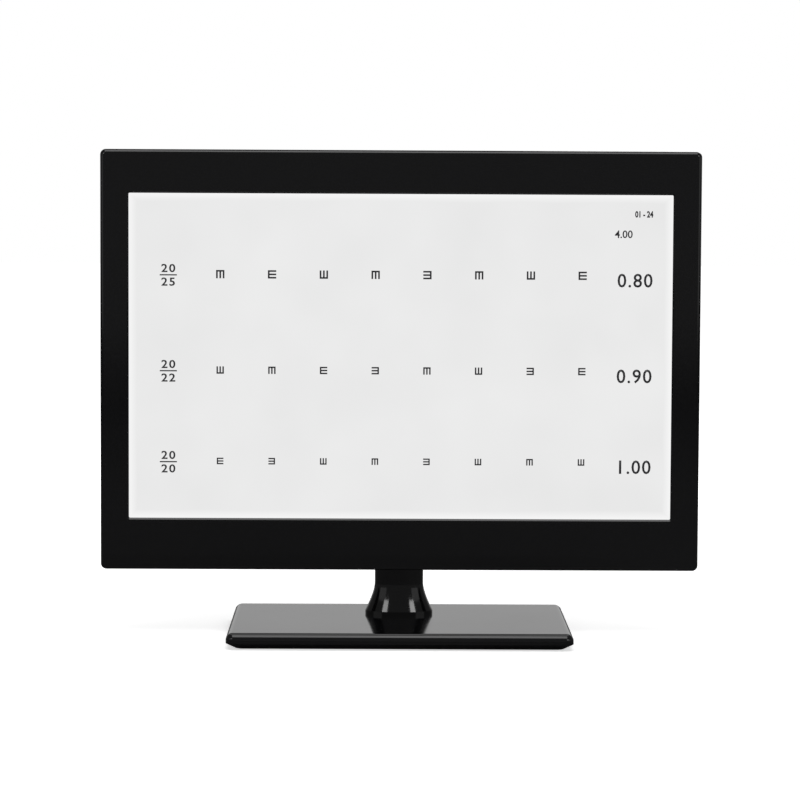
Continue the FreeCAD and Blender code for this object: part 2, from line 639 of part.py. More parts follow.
# Front bezel: gloss frame with a soft outer edge, a bevelled window and a lip that leans back
bezel = piece(body("front_bezel"))
bezel_blank = rounded(bezel, "blank", "front", "face", "display_width", "display_height",
                      "bezel_corner", "0", "display_level")
blank_pad = grow(bezel, bezel_blank, "bezel_depth", "+")
edged = dress(bezel, "Fillet", blank_pad, on_plane(blank_pad, 1, "face"), "bezel_edge")
dress(bezel, "Chamfer", edged, on_plane(edged, 1, "cover_front"), "seam_edge")
lip_cut = outline(bezel, "lip_cut", "side", "-display_width / 2 - over_cut", [
    ("face - over_cut", "display_low + lip_height"), ("face", "display_low + lip_height"),
    ("face + lip_depth", "display_low - over_cut"), ("face - over_cut", "display_low - over_cut"),
])
hollow(bezel, lip_cut, "display_width + 2 * over_cut", "+")
bezel_room = rounded(bezel, "room", "front", "face + bezel_wall", "display_width - 2 * bezel_skirt",
                     "display_height - 2 * bezel_skirt", "bezel_corner - bezel_skirt", "0",
                     "display_level")
hollow(bezel, bezel_room, "bezel_depth - bezel_wall", "+")
bezel_window = rounded(bezel, "window", "front", "face", "screen_width", "screen_height",
                       "window_corner", "0", "screen_level")
hollow(bezel, bezel_window, "bezel_wall", "+")
bevel = [
    rounded(bezel, "bevel_front", "front", "face", "screen_width + 2 * window_edge",
            "screen_height + 2 * window_edge", "window_corner + window_edge", "0",
            "screen_level"),
    rounded(bezel, "bevel_back", "front", "face + window_edge", "screen_width", "screen_height",
            "window_corner", "0", "screen_level"),
]
loft(bezel, bevel, "Subtractive")
post_points = [(f"{i} * post_across", z) for i in (-1, 0, 1) for z in ("post_low", "post_high")]
posts = circles(bezel, "posts", "front", "face + bezel_wall", post_points, "post_radius")
grow(bezel, posts, "post_length", "+")
post_bores = circles(bezel, "post_bores", "front", "post_end", post_points,
                     "cover_screw_radius + thread_room")
hollow(bezel, post_bores, "post_length - post_floor", "-")
receiver_slot = rounded(bezel, "receiver_slot", "floor", "display_low - over_cut",
                        "lens_width + 2 * lens_room", "lens_depth + 2 * lens_room",
                        "lens_corner + lens_room", "receiver_centre", "receiver_y")
hollow(bezel, receiver_slot, "bezel_skirt + over_cut", "+")

# Gasket, steel frame and the layers of the panel
piece(frame("panel_gasket", "gasket_front", "gasket_thick",
            ("screen_width + 2 * gasket_reach", "screen_height + 2 * gasket_reach"),
            ("screen_width + 2 * gasket_room", "screen_height + 2 * gasket_room"),
            "gasket_corner", "screen_level"))
panel_frame = piece(frame("panel_front_frame", "frame_front", "tray_back - frame_front",
                          ("frame_width", "frame_height"),
                          ("screen_width + 2 * frame_room", "screen_height + 2 * frame_room"),
                          "frame_corner", "screen_level"))
frame_room = rounded(panel_frame, "room", "front", "cell_front", "frame_width - 2 * frame_thick",
                     "frame_height - 2 * frame_thick", "tray_corner", "0", "screen_level")
hollow(panel_frame, frame_room, "tray_back - cell_front", "+")
piece(plate("lcd_cell", "cell_front", "cell_thick", "screen_width + 2 * cell_reach",
            "screen_height + 2 * cell_reach", "sheet_corner", "screen_level"))
piece(plate("diffuser_sheets", "sheet_front", "sheet_thick", "screen_width + 2 * guide_reach",
            "screen_height + 2 * guide_reach", "sheet_corner", "screen_level"))
piece(plate("light_guide", "guide_front", "guide_thick", "screen_width + 2 * guide_reach",
            "screen_height + 2 * guide_reach - led_room", "sheet_corner",
            "screen_level + led_room / 2"))
piece(plate("reflector_sheet", "reflector_front", "reflector_thick",
            "screen_width + 2 * guide_reach", "screen_height + 2 * guide_reach", "sheet_corner",
            "screen_level"))
piece(frame("panel_mould_frame", "cell_front", "tray_front - cell_front",
            ("mould_width", "mould_height"),
            ("screen_width + 2 * (cell_reach + layer_room)",
             "screen_height + 2 * (cell_reach + layer_room)"), "tray_corner", "screen_level"))
piece(plate("panel_rear_tray", "tray_front", "tray_thick", "mould_width", "mould_height",
            "tray_corner", "screen_level"))

# LED bar: a strip under the light guide with a row of packages that shine up into its edge
led_bar = piece(body("led_bar"))
guide_middle = "guide_front + guide_thick / 2"
strip = rounded(led_bar, "strip", "floor", "guide_low + layer_room", "screen_width",
                "led_strip_width", "led_corner", "0", guide_middle)
grow(led_bar, strip, "led_strip", "+")
package = rounded(led_bar, "package", "floor", "guide_low + layer_room + led_strip", "led_length",
                  "led_width", "led_corner", "-screen_width / 2 + led_margin", guide_middle)
package_pad = grow(led_bar, package, "led_height", "+")
packages = led_bar.newObject("PartDesign::LinearPattern", "led_packages")
packages.Originals = [package_pad]
packages.Direction = (package, ["H_Axis"])
packages.setExpression("Length", bound("screen_width - 2 * led_margin"))
packages.setExpression("Occurrences", bound("led_count"))
led_bar.Tip = packages

# Carrier plate: sheet steel on four pressed feet, with pressed spacers for the boards
carrier = piece(plate("carrier_plate", "carrier_front", "carrier_thick", "carrier_width",
                      "carrier_height", "tube_corner", "carrier_level"))
foot_points = [(f"{i} * carrier_foot_across", f"carrier_level + {j} * carrier_foot_along")
               for i in SIDES for j in SIDES]
feet = circles(carrier, "feet", "front", "tray_back", foot_points, "carrier_foot")
grow(carrier, feet, "carrier_gap", "+")
foot_bores = circles(carrier, "foot_bores", "front", "tray_back", foot_points,
                     "screw_radius + screw_room")
hollow(carrier, foot_bores, "carrier_gap + carrier_thick", "+")
bracket_taps = circles(carrier, "bracket_taps", "front", "carrier_front", bracket_points,
                       "neck_screw_radius + thread_room")
hollow(carrier, bracket_taps, "carrier_thick", "+")
board_points = [
    (f"{side} * board_centre + {i} * (board_width / 2 - board_inset)",
     f"board_low + board_height / 2 + {j} * (board_height / 2 - board_inset)")
    for side in SIDES for i in SIDES for j in SIDES
]
spacers = circles(carrier, "spacers", "front", "carrier_back", board_points, "spacer_radius")
grow(carrier, spacers, "board_lift", "+")
spacer_bores = circles(carrier, "spacer_bores", "front", "board_front", board_points,
                       "screw_radius + thread_room")
hollow(carrier, spacer_bores, "board_lift - spacer_floor", "-")
piece(group("carrier_screws", [
    screw(f"carrier_screw_{i}", (x, "carrier_back", z), "-y", "screw_radius",
          "carrier_thick + carrier_gap", "screw_head", "screw_head_height")
    for i, (x, z) in enumerate(foot_points)
]))
piece(group("board_screws", [
    screw(f"board_screw_{i}", (x, "board_back", z), "-y", "screw_radius",
          "board_thick + board_screw_grip",
          "screw_head", "screw_head_height")
    for i, (x, z) in enumerate(board_points)
]))


def board(name, side, parts):
    """A drilled circuit board with the parts that stand on its back."""
    item = plate(name, "board_front", "board_thick", "board_width", "board_height",
                 "board_corner", "board_low + board_height / 2", f"{side} * board_centre")
    for part, (x, z, wide, high, tall) in parts.items():
        chip = rounded(item, part, "front", "board_back", wide, high, "chip_corner",
                       f"{side} * board_centre + {x}", f"board_low + {z}")
        grow(item, chip, tall, "+")
    drilled = [point for point in board_points if point[0].startswith(f"{side} ")]
    holes = circles(item, "holes", "front", "board_front", drilled, "screw_radius + screw_room")
    hollow(item, holes, "board_thick", "+")
    return item


def placed(parts):
    """Parts whose place is a share of the board's width and height, as words."""
    return {part: (f"{x} * board_width", f"{z} * board_height", wide, high, tall)
            for part, (x, z, wide, high, tall) in parts.items()}


# Main board: a scaler chip under a finned cooler, memory, coils and plugs. Each part has its
# place as a share of the board from its middle and its lower edge, then width, height and rise
main_parts = placed({
    "cooler": (0, 0.52, "cooler_side", "cooler_side", "cooler_thick"),
    "memory": (0.33, 0.57, 10, 14, 1.2), "coil": (-0.36, 0.57, 12, 12, 5),
    "plug": (-0.33, 0.83, 24, 6, 6), "capacitor": (0.22, 0.85, 8, 8, 7),
})
for i in range(4):
    main_parts[f"fin_{i}"] = (f"{i - 1.5} * fin_pitch", "0.52 * board_height", "fin_thick",
                              "fin_length", "fin_height")
piece(board("main_board", 1, main_parts))
piece(board("power_board", -1, placed({
    "choke": (-0.31, 0.68, 20, 24, 16), "large_capacitor": (0.04, 0.72, 18, 30, 20),
    "transformer": (0.31, 0.66, 18, 22, 18), "power_cooler": (-0.04, 0.47, 44, 5, 14),
    "capacitor_a": (0.38, 0.45, 8, 8, 12), "capacitor_b": (0.27, 0.34, 8, 8, 12),
    "plug": (0.38, 0.87, 10, 8, 5),
})))

# Driver board along the panel's lower edge, and the ribbon from it to the main board
piece(plate("panel_driver_board", "tray_back", "driver_thick", "driver_width", "driver_height",
            "tray_corner", "screen_low + driver_height / 2"))
ribbon = piece(body("panel_ribbon"))
driver_high = "screen_low + driver_height"
driver_back = "tray_back + driver_thick"
ribbon_path = outline(ribbon, "path", "side", "board_centre - ribbon_width / 2", [
    (driver_back, f"{driver_high} - ribbon_overlap"),
    (f"{driver_back} + ribbon_thick", f"{driver_high} - ribbon_overlap"),
    (f"{driver_back} + ribbon_thick", f"{driver_high} - 2 * ribbon_thick"),
    ("board_front", "board_low - ribbon_thick"), ("board_front", "board_low + ribbon_overlap"),
    ("board_front - ribbon_thick", "board_low + ribbon_overlap"),
    ("board_front - ribbon_thick", "board_low"), (driver_back, f"{driver_high} - ribbon_thick"),
])
grow(ribbon, ribbon_path, "ribbon_width", "+")

# Rear cover: straight rim, sloped border, flat back and a hump over the boards and the hinge
cover = piece(body("rear_cover"))


def hump_sections(tag, less, front, back):
    """Outlines of the hump, each smaller than its outside by twice less."""
    sections = []
    for place, name, wide, tall in ((front, "root", "hump_width", "hump_height"),
                                    (back, "top", "hump_top_width", "hump_top_height")):
        level = f"hump_low + ({tall}) / 2"
        sections.append(rounded(cover, f"{tag}_{name}", "front", place, f"{wide} - 2 * {less}",
                                f"{tall} - 2 * {less}", f"hump_corner - {less}", "0", level))
    return sections


rim = rounded(cover, "rim", "front", "cover_front", "display_width", "display_height",
              "bezel_corner", "0", "display_level")
rim_pad = grow(cover, rim, "cover_straight", "+")
dress(cover, "Chamfer", rim_pad, on_plane(rim_pad, 1, "cover_front"), "seam_edge")
slope = [
    rounded(cover, "slope_root", "front", "cover_bend", "display_width", "display_height",
            "bezel_corner", "0", "display_level"),
    rounded(cover, "slope_top", "front", "cover_back", "display_width - 2 * cover_slope",
            "display_height - 2 * cover_slope", "bezel_corner", "0", "display_level"),
]
sloped = loft(cover, slope)
dress(cover, "Fillet", sloped, on_plane(sloped, 1, "cover_back"), "cover_edge")
hump = loft(cover, hump_sections("hump", "0", "cover_back", "hump_back"))
dress(cover, "Fillet", hump, on_plane(hump, 1, "hump_back"), "hump_edge")
rim_room = rounded(cover, "rim_room", "front", "cover_front", "display_width - 2 * cover_wall",
                   "display_height - 2 * cover_wall", "bezel_corner - cover_wall", "0",
                   "display_level")
hollow(cover, rim_room, "cover_straight", "+")
slope_room = [
    rounded(cover, "slope_room_root", "front", "cover_bend", "display_width - 2 * cover_wall",
            "display_height - 2 * cover_wall", "bezel_corner - cover_wall", "0",
            "display_level"),
    rounded(cover, "slope_room_top", "front", "cover_back - cover_wall",
            "display_width - 2 * (cover_slope + cover_wall)",
            "display_height - 2 * (cover_slope + cover_wall)", "bezel_corner - cover_wall", "0",
            "display_level"),
]
loft(cover, slope_room, "Subtractive")
loft(cover, hump_sections("hump_room", "cover_wall", "cover_back - cover_wall",
                          "hump_back - cover_wall"), "Subtractive")

# Wall mount: a square recess over a thicker wall, with four bosses for brass inserts
backing = rounded(cover, "backing", "front", "hump_back - cover_wall", "wall_backing",
                  "wall_backing", "wall_corner", "0", "display_level")
grow(cover, backing, "wall_recess_depth", "-")
recess = rounded(cover, "recess", "front", "hump_back", "wall_recess", "wall_recess",
                 "wall_corner", "0", "display_level")
hollow(cover, recess, "wall_recess_depth", "-")
wall_points = [(f"{i} * wall_pitch / 2", f"display_level + {j} * wall_pitch / 2")
               for i in SIDES for j in SIDES]
wall_bosses = circles(cover, "wall_bosses", "front", "insert_back - cover_wall", wall_points,
                      "wall_boss_radius")
grow(cover, wall_bosses, "insert_length + insert_floor - cover_wall", "-")
insert_seats = circles(cover, "insert_seats", "front", "insert_back", wall_points,
                       "insert_radius")
hollow(cover, insert_seats, "insert_length", "-")

# Throat: the opening under the hump that lets the neck swing
throat = rounded(cover, "throat", "floor", "hump_low", "neck_width + 2 * throat_side",
                 "neck_thick + throat_front + throat_back", "throat_corner", "0",
                 "neck_offset + (throat_back - throat_front) / 2")
hollow(cover, throat, "cover_wall", "+")

# Screw wells over the bezel's posts
wells = circles(cover, "wells", "front", "post_end", post_points, "well_radius")
grow(cover, wells, "cover_back - cover_wall - post_end", "+")
well_holes = circles(cover, "well_holes", "front", "post_end", post_points,
                     "cover_screw_radius + screw_room")
hollow(cover, well_holes, "cover_depth", "+")
well_rooms = circles(cover, "well_rooms", "front", "post_end + well_floor", post_points,
                     "cover_screw_head + screw_room")
hollow(cover, well_rooms, "cover_depth", "+")

# Sockets, keys and their boards
inlet_hole = rounded(cover, "inlet_hole", "floor", "hump_low", "inlet_width + 2 * socket_room",
                     "inlet_thick + 2 * socket_room", "inlet_corner", "inlet_centre",
                     "inlet_y")
hollow(cover, inlet_hole, "cover_wall", "+")
for name in ("hdmi", "usb", "vga"):
    hole = rounded(cover, f"{name}_hole", "floor", "hump_low",
                   f"{name}_width + 2 * socket_room", f"{name}_thick + 2 * socket_room",
                   "socket_corner + socket_room", f"{name}_centre",
                   f"board_back + {name}_thick / 2")
    hollow(cover, hole, "cover_wall", "+")
KEYS = ("power_key", "menu_key", "source_key", "down_key", "up_key")
for i in range(len(KEYS)):
    hole = rounded(cover, f"key_hole_{i}", "front", "cover_back - cover_wall",
                   "key_width + 2 * key_room", "key_height + 2 * key_room",
                   "key_corner + key_room", "key_centre", f"key_level + {i} * key_pitch")
    hollow(cover, hole, "cover_wall", "+")
key_board_level = f"key_level + {(len(KEYS) - 1) / 2} * key_pitch"
key_board_height = f"{len(KEYS) - 1} * key_pitch + 2 * key_board_margin"
key_posts = [("key_centre",
              f"{key_board_level} + {j} * (({key_board_height}) / 2 - key_post_inset)")
             for j in SIDES]
key_bosses = circles(cover, "key_bosses", "front", "key_board_back", key_posts, "spacer_radius")
grow(cover, key_bosses, "cover_back - cover_wall - key_board_back", "+")
key_boss_bores = circles(cover, "key_boss_bores", "front", "key_board_back", key_posts,
                         "cover_screw_radius + thread_room")
hollow(cover, key_boss_bores, "cover_back - cover_wall - key_board_back", "+")

# Vent slots in the sloped top of the hump
slot = rounded(cover, "slot", "front", "cover_back - cover_wall", "slot_width", "slot_height",
               "slot_width / 2 - slot_flat", "-(slot_count - 1) / 2 * slot_pitch",
               "hump_low + hump_height - slot_drop")
slot_pocket = hollow(cover, slot, "hump_depth + cover_wall", "+")
slots = cover.newObject("PartDesign::LinearPattern", "vent_slots")
slots.Originals = [slot_pocket]
slots.Direction = (slot, ["H_Axis"])
slots.setExpression("Length", bound("(slot_count - 1) * slot_pitch"))
slots.setExpression("Occurrences", bound("slot_count"))
cover.Tip = slots

piece(group("rear_cover_screws", [
    screw(f"cover_screw_{i}", (x, "post_end + well_floor", z), "-y", "cover_screw_radius",
          "cover_screw_length", "cover_screw_head", "cover_screw_head_height")
    for i, (x, z) in enumerate(post_points)
]))
inserts = []
for i, (x, z) in enumerate(wall_points):
    sleeve = rod(f"insert_sleeve_{i}", (x, "insert_back", z), "-y", "insert_radius",
                 "insert_length")
    bore = rod(f"insert_bore_{i}", (x, "insert_back", z), "-y", "insert_bore",
               "insert_length")
    inserts.append(cut(f"insert_{i}", sleeve, bore))
piece(group("wall_inserts", inserts))

# Mains inlet: a block with a flange under the cover and a mouth with two cut corners
inlet = piece(body("power_inlet"))
inlet_block = rounded(inlet, "block", "floor", "hump_low", "inlet_width", "inlet_thick",
                      "inlet_corner", "inlet_centre", "inlet_y")
grow(inlet, inlet_block, "inlet_height", "+")
inlet_rim = rounded(inlet, "rim", "floor", "hump_low", "inlet_width + 2 * inlet_flange",
                    "inlet_thick + 2 * inlet_flange", "inlet_flange_corner", "inlet_centre",
                    "inlet_y")
grow(inlet, inlet_rim, "inlet_flange_thick", "-")
left, right = "inlet_centre - mouth_width / 2", "inlet_centre + mouth_width / 2"
near, far = "inlet_y - mouth_thick / 2", "inlet_y + mouth_thick / 2"
mouth = outline(inlet, "mouth", "floor", "hump_low - inlet_flange_thick", [
    (left, near), (right, near), (right, f"{far} - mouth_bevel"),
    (f"{right} - mouth_bevel", far), (f"{left} + mouth_bevel", far),
    (left, f"{far} - mouth_bevel"),
])
hollow(inlet, mouth, "mouth_depth", "+")
blade_root = "hump_low - inlet_flange_thick + mouth_depth"
blades = []
for i, (across, back) in enumerate((("-blade_spacing", "-blade_offset"), ("0", "blade_offset"),
                                    ("blade_spacing", "-blade_offset"))):
    blades.append(box(f"blade_{i}", (f"inlet_centre + {across} - blade_width / 2",
                                     f"inlet_y + {back} - blade_thick / 2",
                                     f"{blade_root} - blade_length"),
                      ("blade_width", "blade_thick", "blade_length")))
piece(group("inlet_pins", blades))


def small_socket(name):
    """A sheet metal socket that opens downward, with a tongue inside."""
    item = body(f"{name}_socket")
    y = f"board_back + {name}_thick / 2"
    shell = rounded(item, "shell", "floor", "hump_low + socket_rise", f"{name}_width",
                    f"{name}_thick", "socket_corner", f"{name}_centre", y)
    grow(item, shell, f"{name}_height", "+")
    room = rounded(item, "room", "floor", "hump_low + socket_rise",
                   f"{name}_width - 2 * socket_wall", f"{name}_thick - 2 * socket_wall",
                   "socket_corner", f"{name}_centre", y)
    hollow(item, room, f"{name}_height - socket_floor", "+")
    blade = rounded(item, "tongue", "floor", "hump_low + socket_rise + tongue_set_back",
                    f"{name}_width - 2 * tongue_side", f"{name}_tongue", "tongue_corner",
                    f"{name}_centre", y)
    grow(item, blade, f"{name}_height - tongue_set_back - socket_floor / 2", "+")
    return piece(item)


for name in ("hdmi", "usb"):
    small_socket(name)

vga = piece(body("vga_socket"))
vga_y = "board_back + vga_thick / 2"
vga_block = rounded(vga, "block", "floor", "hump_floor", "vga_flange_width", "vga_thick",
                    "socket_corner", "vga_centre", vga_y)
grow(vga, vga_block, "vga_height", "+")
vga_shell = rounded(vga, "shell", "floor", "hump_floor", "vga_width", "vga_thick",
                    "socket_corner", "vga_centre", vga_y)
grow(vga, vga_shell, "vga_reach", "-")

# Key board: five switches whose plungers face the keys
key_board = piece(body("key_board"))
key_plate = rounded(key_board, "plate", "front", "key_board_back", "key_board_width",
                    key_board_height, "key_board_corner", "key_centre", key_board_level)
grow(key_board, key_plate, "key_board_thick", "-")
for i in range(len(KEYS)):
    level = f"key_level + {i} * key_pitch"
    switch = rounded(key_board, f"switch_{i}", "front", "key_board_back", "switch_width",
                     "switch_width", "switch_corner", "key_centre", level)
    grow(key_board, switch, "switch_height", "+")
plungers = circles(key_board, "plungers", "front", "key_switch_back",
                   [("key_centre", f"key_level + {i} * key_pitch") for i in range(len(KEYS))],
                   "key_stem_radius")
grow(key_board, plungers, "key_plunger", "+")
key_board_holes = circles(key_board, "holes", "front", "key_board_back", key_posts,
                          "screw_radius + screw_room")
hollow(key_board, key_board_holes, "key_board_thick", "-")
piece(group("key_board_screws", [
    screw(f"key_board_screw_{i}", (x, "key_board_back - key_board_thick", z), "+y",
          "screw_radius", "key_board_thick + key_screw_grip", "screw_head",
          "key_screw_head_height")
    for i, (x, z) in enumerate(key_posts)
]))

# Keys: a cap through the cover, a flange that keeps it in, and a stem over the plunger
for i, name in enumerate(KEYS):
    key = piece(body(name))
    level = f"key_level + {i} * key_pitch"
    cap = rounded(key, "cap", "front", "key_flange_back", "key_width",
                  "key_height", "key_corner", "key_centre", level)
    cap_pad = grow(key, cap, "cover_wall + key_room + key_proud", "+")
    dress(key, "Fillet", cap_pad, on_plane(cap_pad, 1, "cover_back + key_proud"), "key_edge")
    key_rim = rounded(key, "rim", "front", "key_flange_back", "key_width + 2 * key_flange_reach",
                      "key_height + 2 * key_flange_reach", "key_corner", "key_centre", level)
    grow(key, key_rim, "key_flange", "-")
    stem = circles(key, "stem", "front", "key_stem_end", [("key_centre", level)],
                   "key_stem_radius")
    grow(key, stem, "key_stem", "+")

# Receiver for the remote control: a window in the bezel's underside and a sensor over it
window = piece(body("receiver_window"))
lens = rounded(window, "lens", "floor", "display_low", "lens_width", "lens_depth",
               "lens_corner", "receiver_centre", "receiver_y")
grow(window, lens, "bezel_skirt", "+")
ledge = rounded(window, "ledge", "floor", "display_low + bezel_skirt",
                "lens_width + 2 * ledge_reach", "lens_depth", "lens_corner", "receiver_centre",
                "receiver_y")
grow(window, ledge, "ledge_thick", "+")
receiver = piece(body("receiver_board"))
sensor = rounded(receiver, "sensor", "floor", "sensor_low", "sensor_width", "sensor_depth",
                 "sensor_corner", "receiver_centre", "sensor_front + sensor_depth / 2")
grow(receiver, sensor, "sensor_height", "+")
card = rounded(receiver, "card", "floor", "sensor_low + sensor_height", "card_width",
               "card_depth", "card_corner", "receiver_centre", "sensor_front + card_depth / 2")
grow(receiver, card, "card_thick", "+")

doc.recompute()

faults = [f"{item.Name}: {item.State}" for item in doc.Objects
          if "Invalid" in item.State or "Error" in item.State]
for item in pieces:
    shape = item.Shape
    if shape.isNull() or not shape.isValid() or not shape.Solids:
        faults.append(f"{item.Label}: no valid solid")
if faults:
    raise SystemExit("\n".join(faults))

os.makedirs("parts", exist_ok=True)
for item in pieces:
    item.Shape.exportStep(f"parts/{item.Label}.step")
print(f"{len(pieces)} pieces")
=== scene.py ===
import math
import bmesh
import bpy
from mathutils import Euler, Matrix, Vector


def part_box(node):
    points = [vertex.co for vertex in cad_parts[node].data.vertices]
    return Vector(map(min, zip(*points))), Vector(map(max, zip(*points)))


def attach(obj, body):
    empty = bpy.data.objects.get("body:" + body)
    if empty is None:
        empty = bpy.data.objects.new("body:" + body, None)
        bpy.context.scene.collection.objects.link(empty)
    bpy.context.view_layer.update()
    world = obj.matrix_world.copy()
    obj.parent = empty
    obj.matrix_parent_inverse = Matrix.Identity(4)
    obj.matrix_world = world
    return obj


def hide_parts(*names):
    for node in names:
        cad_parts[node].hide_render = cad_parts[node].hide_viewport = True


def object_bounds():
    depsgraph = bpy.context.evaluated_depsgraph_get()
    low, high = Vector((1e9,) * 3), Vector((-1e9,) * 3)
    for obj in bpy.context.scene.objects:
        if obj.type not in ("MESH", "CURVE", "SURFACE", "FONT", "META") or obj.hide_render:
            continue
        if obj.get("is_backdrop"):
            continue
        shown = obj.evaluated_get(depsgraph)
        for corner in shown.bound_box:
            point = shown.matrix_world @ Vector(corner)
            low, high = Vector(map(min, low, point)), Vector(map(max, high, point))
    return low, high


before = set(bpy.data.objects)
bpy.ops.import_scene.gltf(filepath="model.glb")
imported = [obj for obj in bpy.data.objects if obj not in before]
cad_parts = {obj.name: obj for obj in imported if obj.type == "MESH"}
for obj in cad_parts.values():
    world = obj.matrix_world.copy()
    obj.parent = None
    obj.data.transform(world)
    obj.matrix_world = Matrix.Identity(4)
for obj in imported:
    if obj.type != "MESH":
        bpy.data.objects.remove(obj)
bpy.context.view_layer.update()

# Camera: a long lens on a stand 2.7 m in front of the screen, a little above its middle.
# It looks down 4 degrees, so that the top of the base shows as a shallow band.
MM = 0.001
EYE = Vector((-20, -2712, 399.5)) * MM
PITCH, YAW, ROLL = 4.05, 0.42, 0.28
LENS, SENSOR = 139.4, 36
camera = bpy.data.objects.new("camera", bpy.data.cameras.new("camera"))
bpy.context.scene.collection.objects.link(camera)
camera.data.lens = LENS
camera.data.sensor_width = SENSOR
aim = Euler((math.radians(90 - PITCH), 0, math.radians(-YAW))).to_matrix().to_4x4()
camera.matrix_world = Matrix.Translation(EYE) @ aim @ Matrix.Rotation(math.radians(ROLL), 4, "Z")
bpy.context.scene.camera = camera
bpy.context.scene.view_settings.view_transform = "Standard"


# Studio: a white floor and a white sweep behind the display. The gloss parts see the floor
# as grey, a painted shade put in its colour for reflections only, and the room in front as
# dark, so their fronts stay nearly black.
def colour(code):
    """An sRGB hex colour as linear red, green, blue and alpha."""
    parts = [int(code[i:i + 2], 16) / 255 for i in (0, 2, 4)]
    return [c / 12.92 if c <= 0.04045 else ((c + 0.055) / 1.055) ** 2.4 for c in parts] + [1]


def node(tree, kind, inputs=(), **settings):
    """Adds a node; each input is given a value or the output that it is linked to."""
    item = tree.nodes.new(kind)
    for name, setting in settings.items():
        setattr(item, name, setting)
    for name, value in dict(inputs).items():
        if isinstance(value, bpy.types.NodeSocket):
            tree.links.new(value, item.inputs[name])
        else:
            item.inputs[name].default_value = value
    return item


def blank(name):
    """A new material with no nodes, and its tree."""
    material = bpy.data.materials.new(name)
    material.use_nodes = True
    material.node_tree.nodes.clear()
    return material, material.node_tree


def shown(tree, shader):
    """Ends a material at a shader."""
    node(tree, "ShaderNodeOutputMaterial", {"Surface": shader.outputs[0]})


def mixed(tree, value, first, second):
    """Two hex colours mixed by a pattern."""
    item = node(tree, "ShaderNodeMix", {"Factor": value, "A": colour(first), "B": colour(second)},
                data_type="RGBA")
    return item.outputs["Result"]


def sums(tree, operation, *values):
    """One sum with one or two values."""
    return node(tree, "ShaderNodeMath", dict(enumerate(values)), operation=operation).outputs[0]


def ranged(tree, value, low, high, start=0.3, end=0.7, **settings):
    """A pattern's value stretched so that start to end becomes low to high."""
    return node(tree, "ShaderNodeMapRange", {"Value": value, "From Min": start, "From Max": end,
                                             "To Min": low, "To Max": high}, **settings).outputs[0]


def straight(tree):
    """1 where the eye sees a thing straight or through a clear piece, and 0 in a reflection."""
    rays = node(tree, "ShaderNodeLightPath").outputs
    return sums(tree, "MAXIMUM", rays["Is Camera Ray"], rays["Is Transmission Ray"])


FLOOR_FRONT, FLOOR_SIZE = -4, 16
GLOW_NEAR, GLOW_FAR, GLOW_START, GLOW_END = 0.62, 1.0, 0.35, 1.2
floor_mesh = bpy.data.meshes.new("floor")
bm = bmesh.new()
bmesh.ops.create_grid(bm, x_segments=1, y_segments=1, size=FLOOR_SIZE / 2)
bmesh.ops.translate(bm, vec=(0, FLOOR_FRONT + FLOOR_SIZE / 2, 0), verts=bm.verts)
bm.to_mesh(floor_mesh)
bm.free()
floor = bpy.data.objects.new("floor", floor_mesh)
bpy.context.scene.collection.objects.link(floor)
floor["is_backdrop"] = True

# White painted board: matt, and bright enough to melt into the sweep behind it
floor_paint, tree = blank("matt_white_board")
where = node(tree, "ShaderNodeTexCoord").outputs["Object"]
away = node(tree, "ShaderNodeVectorMath", {0: where}, operation="LENGTH").outputs["Value"]
glow = ranged(tree, away, GLOW_NEAR, GLOW_FAR, GLOW_START, GLOW_END)
light = node(tree, "ShaderNodeEmission", {"Color": colour("FFFFFF"),
                                          "Strength": sums(tree, "MULTIPLY", straight(tree), glow)})
# In reflections the board's colour drops from white to grey: painted shade, so the gloss fronts
# reflect a darker floor
mirrored = node(tree, "ShaderNodeLightPath").outputs["Is Glossy Ray"]
matt = node(tree, "ShaderNodeBsdfDiffuse", {"Color": mixed(tree, mirrored, "F2F2F2", "6E6E6E")})
shown(tree, node(tree, "ShaderNodeAddShader", {0: matt.outputs[0], 1: light.outputs[0]}))
floor_mesh.materials.append(floor_paint)

# The room: pale behind the display, dim round the camera; the camera itself sees plain white.
# It brightens between two shares of the way back.
ROOM_FRONT, ROOM_BACK, ROOM_DIM_END, ROOM_PALE_START = 0.16, 0.62, 0.5, 0.97
world = bpy.data.worlds.new("room")
bpy.context.scene.world = world
world.use_nodes = True
tree = world.node_tree
tree.nodes.clear()
way = node(tree, "ShaderNodeTexCoord").outputs["Generated"]
along = node(tree, "ShaderNodeSeparateXYZ", {0: way}).outputs["Y"]
level = ranged(tree, along, ROOM_FRONT, ROOM_BACK, ROOM_DIM_END, ROOM_PALE_START,
               interpolation_type="SMOOTHSTEP")
white = node(tree, "ShaderNodeBackground", {"Color": colour("FFFFFF"), "Strength": 1})
room = node(tree, "ShaderNodeBackground", {"Color": colour("FFFFFF"), "Strength": level})
mix = node(tree, "ShaderNodeMixShader", {0: straight(tree), 1: room.outputs[0],
                                         2: white.outputs[0]})
node(tree, "ShaderNodeOutputWorld", {"Surface": mix.outputs[0]})


def lamp(name, place, target, width, height, power):
    """A soft box: an area lamp in metres and watts that points from a place at a target."""
    data = bpy.data.lights.new(name, "AREA")
    data.shape = "RECTANGLE"
    data.size, data.size_y, data.energy = width, height, power
    item = bpy.data.objects.new(name, data)
    bpy.context.scene.collection.objects.link(item)
    item.location = place
    item.rotation_euler = (Vector(target) - Vector(place)).to_track_quat("-Z", "Y").to_euler()


